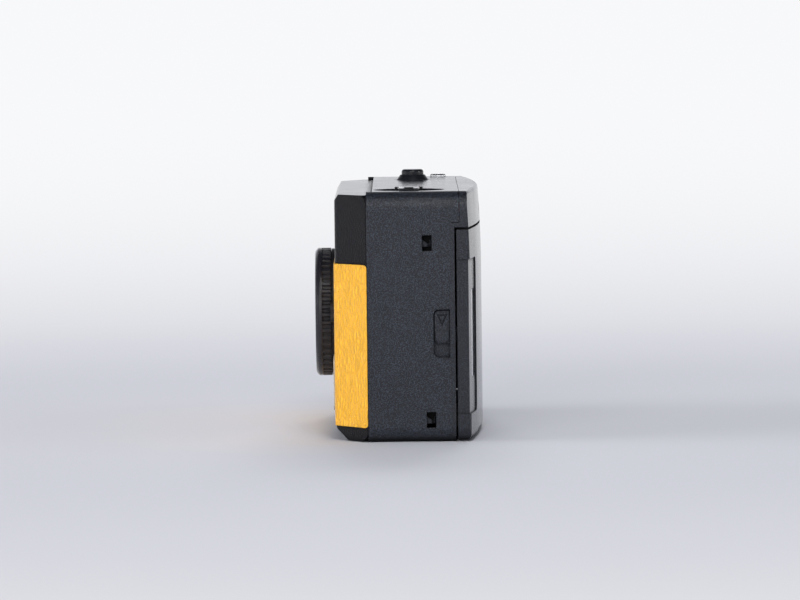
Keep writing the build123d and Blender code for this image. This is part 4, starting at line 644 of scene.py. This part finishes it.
class Form:
    """Ways to make the meshes."""

    @staticmethod
    def mesh(
        name: str, points: Sequence[Point], faces: Sequence[Sequence[int]], place: Matrix | None = None
    ) -> bpy.types.Mesh:
        """A mesh from points in millimetres.

        Args:
            name: the mesh's name.
            points: its corners.
            faces: corner numbers of each face.
            place: where the points go, in millimetres.

        Returns:
            The mesh, in metres, with its faces turned outwards.
        """
        mesh = bpy.data.meshes.new(name)
        place = place or Matrix.Identity(4)
        mesh.from_pydata([(place @ Vector(p)) * MM for p in points], [], [list(f) for f in faces])
        shape = bmesh.new()
        shape.from_mesh(mesh)
        bmesh.ops.recalc_face_normals(shape, faces=shape.faces)
        shape.to_mesh(mesh)
        shape.free()
        return mesh

    @staticmethod
    def turned(
        name: str, profile: Outline, steps: int, place: Matrix,
        swell: Callable[[float, float, float], float] | None = None,
    ) -> bpy.types.Mesh:
        """A closed profile turned about the place's Z axis.

        Args:
            name: the mesh's name.
            profile: (radius, height) points round the section; a radius of 0 lies on the axis.
            steps: how many divisions a turn has.
            place: where the axis stands.
            swell: gives the radius at (angle, radius, height), for ribs.

        Returns:
            The mesh.
        """
        points: list[Point] = []
        rows: list[list[int]] = []
        for radius, height in profile:
            row = []
            for i in range(1 if radius == 0 else steps):
                angle = 2 * math.pi * i / steps
                reach = swell(angle, radius, height) if swell else radius
                row.append(len(points))
                points.append((reach * math.cos(angle), reach * math.sin(angle), height))
            rows.append(row)
        faces = []
        closed = profile[0][0] > 0 or profile[-1][0] > 0
        pairs = list(zip(rows, rows[1:])) + ([(rows[-1], rows[0])] if closed else [])
        for low, high in pairs:
            for i in range(steps):
                j = (i + 1) % steps
                ring = [low[i % len(low)], low[j % len(low)], high[j % len(high)], high[i % len(high)]]
                face = list(dict.fromkeys(ring))
                if len(face) > 2:
                    faces.append(face)
        return Form.mesh(name, points, faces, place)

    @staticmethod
    def prism(
        name: str, outline: Outline, low: float, high: float, place: Matrix, hole: Outline = ()
    ) -> bpy.types.Mesh:
        """An outline given thickness, with an optional hole of as many points.

        Args:
            name: the mesh's name.
            outline: (x, y) points, anticlockwise.
            low: the underside's height.
            high: the top's height.
            place: where the outline's plane stands.
            hole: (x, y) points of the hole, matching the outline's.

        Returns:
            The mesh.
        """
        count = len(outline)
        loops = [outline, hole] if hole else [outline]
        points = [(x, y, z) for z in (low, high) for loop in loops for x, y in loop]
        level = count * len(loops)
        faces: list[list[int]] = []
        for i in range(count):
            j = (i + 1) % count
            faces.append([i, j, j + level, i + level])
            if hole:
                faces.append([count + i, count + i + level, count + j + level, count + j])
                faces.append([i, count + i, count + j, j])
                faces.append([i + level, j + level, count + j + level, count + i + level])
        if not hole:
            faces += [list(range(count))[::-1], list(range(level, level + count))]
        return Form.mesh(name, points, faces, place)

    @staticmethod
    def soften(mesh: bpy.types.Mesh, width: float, segments: int = 2, angle: float = 30.0) -> bpy.types.Mesh:
        """Rounds a mesh's sharp edges and shades it smooth.

        Args:
            mesh: the mesh, changed in place.
            width: the round's size in millimetres.
            segments: faces across the round.
            angle: edges that turn by more degrees are sharp.

        Returns:
            The same mesh.
        """
        if width > 0:
            shape = bmesh.new()
            shape.from_mesh(mesh)
            limit = math.radians(angle)
            sharp = [e for e in shape.edges if e.is_manifold and e.calc_face_angle(0.0) > limit]
            bmesh.ops.bevel(
                shape,
                geom=sharp,
                offset=width * MM,
                segments=segments,
                profile=BEVEL_PROFILE,
                affect="EDGES",
                clamp_overlap=True,
            )
            shape.to_mesh(mesh)
            shape.free()
        mesh.shade_smooth()
        mesh.set_sharp_from_angle(angle=math.radians(SMOOTH_ANGLE))
        return mesh

    @staticmethod
    def welded(mesh: bpy.types.Mesh) -> bpy.types.Mesh:
        """A copy of a solid's mesh, its corners joined, its flat faces whole, its stored normals gone."""
        result = mesh.copy()
        if "custom_normal" in result.attributes:
            result.attributes.remove(result.attributes["custom_normal"])
        shape = bmesh.new()
        shape.from_mesh(result)
        bmesh.ops.remove_doubles(shape, verts=shape.verts, dist=WELD_GAP * MM)
        flat = math.radians(FLAT_ANGLE)
        bmesh.ops.dissolve_limit(shape, angle_limit=flat, verts=shape.verts, edges=shape.edges)
        shape.to_mesh(result)
        shape.free()
        return result

    @staticmethod
    def carve(mesh: bpy.types.Mesh, cutters: Sequence[bpy.types.Mesh]) -> bpy.types.Mesh:
        """A copy of a mesh with other meshes cut out of it.

        Args:
            mesh: the mesh to cut.
            cutters: closed meshes.

        Returns:
            The cut mesh.
        """
        scene = bpy.context.scene.collection
        work = bpy.data.objects.new("work", mesh)
        scene.objects.link(work)
        tools = []
        for cutter in cutters:
            tool = bpy.data.objects.new("tool", cutter)
            scene.objects.link(tool)
            tools.append(tool)
            step = work.modifiers.new("cut", "BOOLEAN")
            step.object = tool
            step.solver = "EXACT"
        bpy.context.view_layer.update()
        cut = work.evaluated_get(bpy.context.evaluated_depsgraph_get())
        result = bpy.data.meshes.new_from_object(cut)
        for thing in [work, *tools]:
            bpy.data.objects.remove(thing)
        return result


def along_y(x: float, z: float) -> Matrix:
    """A place whose Z axis looks along -Y, out of the lens, from the line at x and z."""
    return Matrix.Translation((x, 0, z)) @ Matrix.Rotation(math.pi / 2, 4, "X")


def facing_end() -> Matrix:
    """A place whose X is the frame's Y, whose Y is up and whose Z looks out of the rewind end."""
    return Matrix(((0, 0, 1, 0), (1, 0, 0, 0), (0, 1, 0, 0), (0, 0, 0, 1)))


class Workshop:
    """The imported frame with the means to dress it."""

    def __init__(self) -> None:
        """Loads the frame and prepares the finishes."""
        self.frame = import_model()
        self.cad_box = [list(corner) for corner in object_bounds()]
        self.nodes: dict[str, bpy.types.Object] = self.frame["nodes"]
        self.kit = ShaderKit()
        subparts = self.frame["record"]["subparts"]
        self.slots = {entry["node"]: Slot(entry["material_slot"]) for entry in subparts}
        self.made: dict[Slot, bpy.types.Material] = {}

    def material(self, slot: Slot) -> bpy.types.Material:
        """The slot's material, made on first use."""
        if slot not in self.made:
            self.made[slot] = FINISHES[slot].material(slot.value, self.kit)
        return self.made[slot]

    def dress(self, *names: str) -> None:
        """Gives CAD nodes the finish of their slots.

        Args:
            names: the nodes.
        """
        for name in names:
            paint = self.material(self.slots[name])
            node = self.nodes[name]
            if not node.material_slots:
                node.data.materials.append(paint)
            for holder in node.material_slots:
                holder.material = paint

    def add(
        self, name: str, mesh: bpy.types.Mesh, body: str, slot: Slot, *stands_for: str
    ) -> bpy.types.Object:
        """Puts a new piece on a body.

        Args:
            name: the piece's name.
            mesh: its mesh.
            body: the body it rides on.
            slot: where its finish comes from.
            stands_for: CAD nodes that it replaces.

        Returns:
            The piece.
        """
        piece = bpy.data.objects.new(name, mesh)
        bpy.context.scene.collection.objects.link(piece)
        mesh.materials.clear()
        mesh.materials.append(self.material(slot))
        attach(piece, body)
        if stands_for:
            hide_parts(*stands_for)
        return piece

    def coil(self, node: str, name: str) -> None:
        """Puts a smooth-shaded copy of a CAD coil spring in its place on the camera body.

        Args:
            node: the CAD spring it stands for.
            name: the piece's name.
        """
        mesh = Form.soften(self.nodes[node].data.copy(), 0)
        piece = self.add(name, mesh, "camera_body", self.slots[node], node)
        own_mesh(piece)

    @staticmethod
    def low(node: str) -> Vector:
        """A node's lowest corner in millimetres."""
        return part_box(node)[0] / MM

    @staticmethod
    def high(node: str) -> Vector:
        """A node's highest corner in millimetres."""
        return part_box(node)[1] / MM


@dataclass
class Assembly:
    """A sub-assembly whose CAD nodes take the finishes of their slots."""

    nodes: tuple[str, ...] = ()

    def build(self, shop: Workshop) -> None:
        """Dresses the nodes."""
        shop.dress(*self.nodes)


@dataclass
class Casing(Assembly):
    """The textured shell, the smooth face plate with its cover panel, and what is fixed to them."""

    nodes: tuple[str, ...] = (
        "front_shell", "face_plate", "cover_panel", "badge_plate", "strap_bar", "case_screws",
    )


@dataclass
class LensUnit(Assembly):
    """The knurled lens ring, the funnel, the barrel with its element, and the flash switch.

    A wave runs from 0 to 1 and back for each rib: the rib starts where it passes rib_gap, is full
    rib_flank further on, and its top stays rib_drop below the plain rim. An edge is a list of
    (inset, drop): how far a point lies from the edge's radius, into the ring, and behind its front.
    """

    nodes: tuple[str, ...] = (
        "lens_bezel", "flash_switch", "lens_holder", "front_lens", "aperture_stop",
    )
    rib_count: int = 50
    steps_per_rib: int = 12
    rib_height: float = 0.45
    rib_drop: float = 0.03
    rib_gap: float = 0.32
    rib_flank: float = 0.36
    ring_radius: float = 16.6
    bore: float = 13.6
    sleeve: float = 15.0
    knurl_start: float = 1.8
    knurl_length: float = 2.3
    knurl_rows: int = 5
    knurl_margin: float = 0.01
    foot_inset: float = 0.1
    foot_rise: float = 0.05
    shoulder_edge: float = 0.06
    shoulder_drop: float = 0.02
    rim_edge: Outline = ((0.0, 0.95), (0.05, 0.75), (0.25, 0.5), (0.7, 0.12), (0.95, 0.0))
    bore_edge: Outline = ((0.5, 0.0), (0.15, 0.12), (0.0, 0.4))

    def ring_profile(self, front: float, rear: float) -> list[tuple[float, float]]:
        """The ring's section.

        Args:
            front: height of the front rim along the axis.
            rear: height of the sleeve's end.

        Returns:
            (radius, height) points.
        """
        outer = self.ring_radius
        knurl = front - self.knurl_start
        foot = knurl - self.knurl_length
        core = outer - self.rib_height
        points = [(self.bore, rear), (self.sleeve, rear), (self.sleeve, foot)]
        points += [(core - self.foot_inset, foot), (core, foot + self.foot_rise)]
        for row in range(self.knurl_rows):
            share = (row + 0.5) / self.knurl_rows
            points.append((core, foot + self.knurl_length * share))
        points.append((core, knurl - self.shoulder_drop))
        points.append((outer - self.shoulder_edge, knurl))
        points.append((outer, knurl + self.shoulder_edge))
        points += [(outer - inset, front - drop) for inset, drop in self.rim_edge]
        points += [(self.bore + inset, front - drop) for inset, drop in self.bore_edge]
        return points

    def swell(self, angle: float, radius: float, height: float, knurl: tuple[float, float]) -> float:
        """The ring's radius with its ribs.

        Args:
            angle: place round the ring.
            radius: the section's radius.
            height: place along the axis.
            knurl: lowest and highest place of the knurled band.

        Returns:
            The radius there.
        """
        if not (knurl[0] < height < knurl[1] and radius > self.sleeve):
            return radius
        wave = 0.5 + 0.5 * math.cos(angle * self.rib_count)
        flank = min(1.0, max(0.0, (wave - self.rib_gap) / self.rib_flank))
        rib = flank * flank * (3 - 2 * flank)
        return radius + (self.rib_height - self.rib_drop) * rib

    def build(self, shop: Workshop) -> None:
        """Builds the ring and dresses the rest."""
        low, high = shop.low("lens_ring"), shop.high("lens_ring")
        axis = (low.z + high.z) / 2
        front, rear = -low.y, -high.y
        knurl_high = front - self.knurl_start
        knurl_low = knurl_high - self.knurl_length
        knurl = (knurl_low + self.knurl_margin, knurl_high - self.knurl_margin)
        mesh = Form.turned(
            "lens_ring_form",
            self.ring_profile(front, rear),
            self.rib_count * self.steps_per_rib,
            along_y(0, axis),
            lambda angle, radius, height: self.swell(angle, radius, height, knurl),
        )
        shop.add("knurled_lens_ring", Form.soften(mesh, 0), "camera_body", Slot.RING, "lens_ring")
        super().build(shop)


@dataclass
class FlashHead(Assembly):
    """The flash's window, reflector and tube, with the board behind."""

    nodes: tuple[str, ...] = (
        "flash_window", "flash_reflector", "flash_tube", "flash_board", "flash_capacitor",
        "flash_transformer", "ready_lamp",
    )


@dataclass
class Finder(Assembly):
    """The viewfinder's tunnel and lenses."""

    nodes: tuple[str, ...] = ("finder_tunnel", "finder_lens", "eyepiece_lens")


@dataclass
class Shutter(Assembly):
    """The shutter's plate, blade, lever and springs, and the button with its collar."""

    nodes: tuple[str, ...] = (
        "shutter_base", "shutter_blade", "release_lever", "lever_spring",
        "shutter_button", "button_collar",
    )
    press: float = 1.2
    spare: float = 0.15

    def build(self, shop: Workshop) -> None:
        """Dresses the shutter and sets the spring under the button."""
        super().build(shop)
        shop.coil("button_spring", "button_coil")


@dataclass
class Transport(Assembly):
    """The thumb wheel, the spools, the counter and the rewind release."""

    nodes: tuple[str, ...] = (
        "advance_wheel", "takeup_spool", "sprocket_shaft", "counter_dial", "counter_window",
        "wheel_pawl", "release_button",
    )


@dataclass
class RewindUnit(Assembly):
    """The rewind knob, its folding crank and the fork below."""

    nodes: tuple[str, ...] = (
        "rewind_knob", "crank_pin", "rewind_crank", "crank_grip", "rewind_fork", "rewind_clip",
    )


@dataclass
class FilmBack(Assembly):
    """The chassis, the back door with its window and latch, and the pressure plate.

    The engraved triangle's line is cut between two outlines. As an outline grows, its upper corners
    move side_growth times as far sideways and its tip tip_growth times as far down.
    """

    nodes: tuple[str, ...] = (
        "chassis", "cassette_well", "back_door", "film_window", "door_hinge_pin",
        "pressure_plate", "pressure_spring", "door_seal",
    )
    triangle_width: float = 2.7
    triangle_height: float = 2.9
    triangle_line: float = 0.36
    triangle_depth: float = 0.3
    triangle_below_top: float = 0.95
    side_growth: float = 1.7
    tip_growth: float = 2.2
    cutter_height: float = 1.0
    pad_rise: float = 0.35
    face_rear: float = 12.8
    latch_edge: float = 0.2
    edge_faces: int = 3
    edge_angle: float = 40.0
    spring_keep: float = 0.1

    def triangle(self, y: float, top: float, grow: float) -> list[tuple[float, float]]:
        """The direction mark's outline, pointing down.

        Args:
            y: its middle.
            top: its upper edge.
            grow: how far its sides move outwards.

        Returns:
            Three points of (y, z), anticlockwise.
        """
        half = self.triangle_width / 2 + self.side_growth * grow
        tip = top - self.triangle_height - self.tip_growth * grow
        return [(y - half, top + grow), (y, tip), (y + half, top + grow)]

    def build(self, shop: Workshop) -> None:
        """Engraves the latch and dresses the rest."""
        low, high = shop.low("door_latch"), shop.high("door_latch")
        face = high.x - self.pad_rise
        middle = (low.y + self.face_rear) / 2
        top = high.z - self.triangle_below_top
        ring = Form.prism(
            "mark_tool",
            self.triangle(middle, top, 0.0),
            face - self.triangle_depth,
            face + self.cutter_height,
            facing_end(),
            self.triangle(middle, top, -self.triangle_line),
        )
        whole = Form.welded(shop.nodes["door_latch"].data)
        rounded = Form.soften(whole, self.latch_edge, self.edge_faces, self.edge_angle)
        mesh = Form.soften(Form.carve(rounded, [ring]), 0)
        shop.add("engraved_latch", mesh, "door_latch", Slot.LATCH, "door_latch")
        shop.coil("latch_spring", "latch_coil")
        super().build(shop)


@dataclass
class BatteryBay(Assembly):
    """The battery box with its door, cell and contacts."""

    nodes: tuple[str, ...] = (
        "battery_box", "battery_door", "battery_cell", "battery_spring", "battery_contact",
    )


@dataclass(frozen=True)
class Lamp:
    """A soft square lamp that looks at the camera's middle.

    Its direction is seen from that middle, its distance and size are in metres, its level is how
    bright a white face turned to it becomes, and mirrored says whether shiny faces show it.
    """

    name: str
    direction: Point
    distance: float
    size: float
    level: float
    mirrored: bool = False


LAMPS = (
    Lamp("key", (0.9, -0.3, 0.3), distance=1.6, size=0.6, level=0.12, mirrored=True),
    Lamp("high", (0.75, 0.1, 0.85), distance=0.7, size=0.2, level=0.26, mirrored=True),
    Lamp("front", (1.0, -0.15, 0.05), distance=2.4, size=1.3, level=0.9),
    Lamp("side", (0.15, -1.0, 0.3), distance=1.6, size=1.2, level=0.48),
    Lamp("edge", (0.25, 1.0, 0.2), distance=1.6, size=0.4, level=0.14, mirrored=True),
    Lamp("strip", (0.05, -1.0, 0.2), distance=1.6, size=0.3, level=0.06, mirrored=True),
    Lamp("top", (-0.15, 0.1, 1.0), distance=1.8, size=1.4, level=0.1),
    Lamp("back", (-0.85, 0.05, 0.5), distance=1.6, size=0.6, level=0.72),
)


@dataclass
class Studio:
    """The pale floor, the sky and the lamps, with their lengths in metres.

    The floor takes light and shadow near the camera. From shadow_start to shadow_end it turns to
    a glow of its own, ever paler past glow_start. The sky is bright low down and behind the object,
    as the photograph looks at it: over sky_span of steepness it falls from sky_low to sky_high, and
    over room_span, from straight behind the object round to the sides, to a share of room.
    """

    floor_half: float = 60.0
    floor_near: Rgb = (0.57, 0.58, 0.63)
    glow_near: Rgb = (0.60, 0.605, 0.665)
    glow_far: Rgb = (0.935, 0.94, 0.955)
    glow_start: float = 0.2
    glow_length: float = 0.54
    shadow_start: float = 0.1
    shadow_end: float = 0.5
    sky: Rgb = (0.95, 0.96, 1.0)
    sky_low: float = 0.95
    sky_high: float = 0.06
    sky_span: Span = (0.25, 0.65)
    room: float = 0.22
    room_span: Span = (-1.0, -0.45)
    fill: float = 0.2
    aim_height: float = 0.03
    lamps: tuple[Lamp, ...] = LAMPS

    @staticmethod
    def seen(graph: Graph) -> bpy.types.NodeSocket:
        """A mask of the rays that see the background: from the camera, mirrors and glass."""
        path = graph.add("ShaderNodeLightPath")
        seen = graph.math("MAXIMUM", path.outputs["Is Camera Ray"], path.outputs["Is Glossy Ray"])
        return graph.math("MAXIMUM", seen, path.outputs["Is Transmission Ray"])

    def build_floor(self) -> None:
        """Makes the floor, which shows the shadow near the camera and turns pale far off."""
        size = self.floor_half / MM
        points = [(-size, -size, 0.0), (size, -size, 0.0), (size, size, 0.0), (-size, size, 0.0)]
        floor = bpy.data.objects.new("floor", Form.mesh("floor", points, [(0, 1, 2, 3)]))
        bpy.context.scene.collection.objects.link(floor)
        paint = bpy.data.materials.new("studio_floor")
        paint.use_nodes = True
        graph = Graph(paint.node_tree)
        place = graph.add("ShaderNodeTexCoord").outputs["Object"]
        away = graph.add("ShaderNodeVectorMath", {0: place}, operation="LENGTH").outputs["Value"]
        past = graph.math("MAXIMUM", graph.math("SUBTRACT", away, self.glow_start), 0.0)
        fade = graph.math("EXPONENT", graph.math("DIVIDE", past, -self.glow_length))
        tone = graph.blend(fade, rgba(self.glow_far), rgba(self.glow_near))
        near = graph.add("ShaderNodeBsdfDiffuse", {"Color": rgba(self.floor_near)})
        glow = graph.add("ShaderNodeEmission", {"Color": tone})
        beyond = graph.span(away, self.shadow_start, self.shadow_end)
        amount = graph.math("MULTIPLY", beyond, self.seen(graph))
        mixed = graph.add("ShaderNodeMixShader", {0: amount, 1: near.outputs[0], 2: glow.outputs[0]})
        graph.add("ShaderNodeOutputMaterial", {"Surface": mixed.outputs[0]})
        floor.data.materials.append(paint)
        floor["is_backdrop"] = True

    def build_sky(self) -> None:
        """Makes the world: a sky for the camera, mirrors and glass, and an even fill for the rest."""
        world = bpy.data.worlds.new("studio")
        world.use_nodes = True
        bpy.context.scene.world = world
        graph = Graph(world.node_tree)
        way = graph.add("ShaderNodeTexCoord").outputs["Generated"]
        parts = graph.add("ShaderNodeSeparateXYZ", {0: way})
        steep = graph.math("ABSOLUTE", parts.outputs[2])
        dim = graph.span(steep, *self.sky_span, self.sky_low, self.sky_high)
        room = graph.span(parts.outputs[0], *self.room_span, 1.0, self.room)
        level = graph.math("MULTIPLY", dim, room)
        shown = graph.add("ShaderNodeBackground", {"Color": rgba(self.sky), "Strength": level})
        fill = graph.add("ShaderNodeBackground", {"Color": rgba(self.sky), "Strength": self.fill})
        inputs = {0: self.seen(graph), 1: fill.outputs[0], 2: shown.outputs[0]}
        mixed = graph.add("ShaderNodeMixShader", inputs)
        graph.add("ShaderNodeOutputWorld", {"Surface": mixed.outputs[0]})

    def hang(self, lamp: Lamp) -> None:
        """Adds a lamp to the scene.

        Args:
            lamp: what it is like.
        """
        data = bpy.data.lights.new(lamp.name, "AREA")
        data.shape = "SQUARE"
        data.size = lamp.size
        data.energy = lamp.level * math.pi * math.pi * lamp.distance * lamp.distance
        light = bpy.data.objects.new(lamp.name, data)
        away = Vector(lamp.direction).normalized()
        light.location = away * lamp.distance + Vector((0, 0, self.aim_height))
        light.rotation_euler = away.to_track_quat("Z", "Y").to_euler()
        light.visible_glossy = lamp.mirrored
        bpy.context.scene.collection.objects.link(light)

    def build(self) -> None:
        """Makes the floor, the sky and the lamps."""
        self.build_floor()
        self.build_sky()
        for lamp in self.lamps:
            self.hang(lamp)
        bpy.context.scene.view_settings.view_transform = "Standard"


@dataclass
class PhotoCamera:
    """The camera of the photograph: a long lens that looks at the rewind end from just above.

    Angles are in degrees, and the clip distances are in metres.
    """

    sensor_width: float = 36.0
    clip_near: float = 0.05
    clip_far: float = 200.0
    end_distance: float = 1650.0
    focal_pixels: float = 6570.0
    down: float = 3.03
    turn: float = 0.05
    roll: float = 0.65
    aim_y: float = 0.39
    aim_z: float = 35.9

    def build(self, end_x: float) -> None:
        """Makes the camera.

        Args:
            end_x: where the rewind end stands, in millimetres.
        """
        data = bpy.data.cameras.new("photo_camera")
        data.sensor_width = self.sensor_width
        data.lens = self.focal_pixels / PHOTO_WIDTH * data.sensor_width
        data.clip_start = self.clip_near
        data.clip_end = self.clip_far
        down, turn = math.radians(self.down), math.radians(self.turn)
        across = math.cos(down)
        back = Vector((across * math.cos(turn), across * math.sin(turn), math.sin(down)))
        camera = bpy.data.objects.new("photo_camera", data)
        camera.location = (Vector((end_x, self.aim_y, self.aim_z)) + back * self.end_distance) * MM
        level = back.to_track_quat("Z", "Y").to_matrix().to_4x4()
        rolled = level @ Matrix.Rotation(-math.radians(self.roll), 4, "Z")
        camera.rotation_euler = rolled.to_euler()
        bpy.context.scene.collection.objects.link(camera)
        bpy.context.scene.camera = camera


def main() -> None:
    """Builds every sub-assembly around the frame, then the studio and the camera."""
    logging.basicConfig(level=logging.INFO, format="%(name)s: %(message)s")
    shop = Workshop()
    assemblies: tuple[Assembly, ...] = (
        Casing(),
        LensUnit(),
        FlashHead(),
        Finder(),
        Shutter(),
        Transport(),
        RewindUnit(),
        FilmBack(),
        BatteryBay(),
    )
    for assembly in assemblies:
        assembly.build(shop)
        log.info("built %s", type(assembly).__name__)
    Studio().build()
    PhotoCamera().build(shop.high("front_shell").x)


if __name__ == "__main__":
    main()
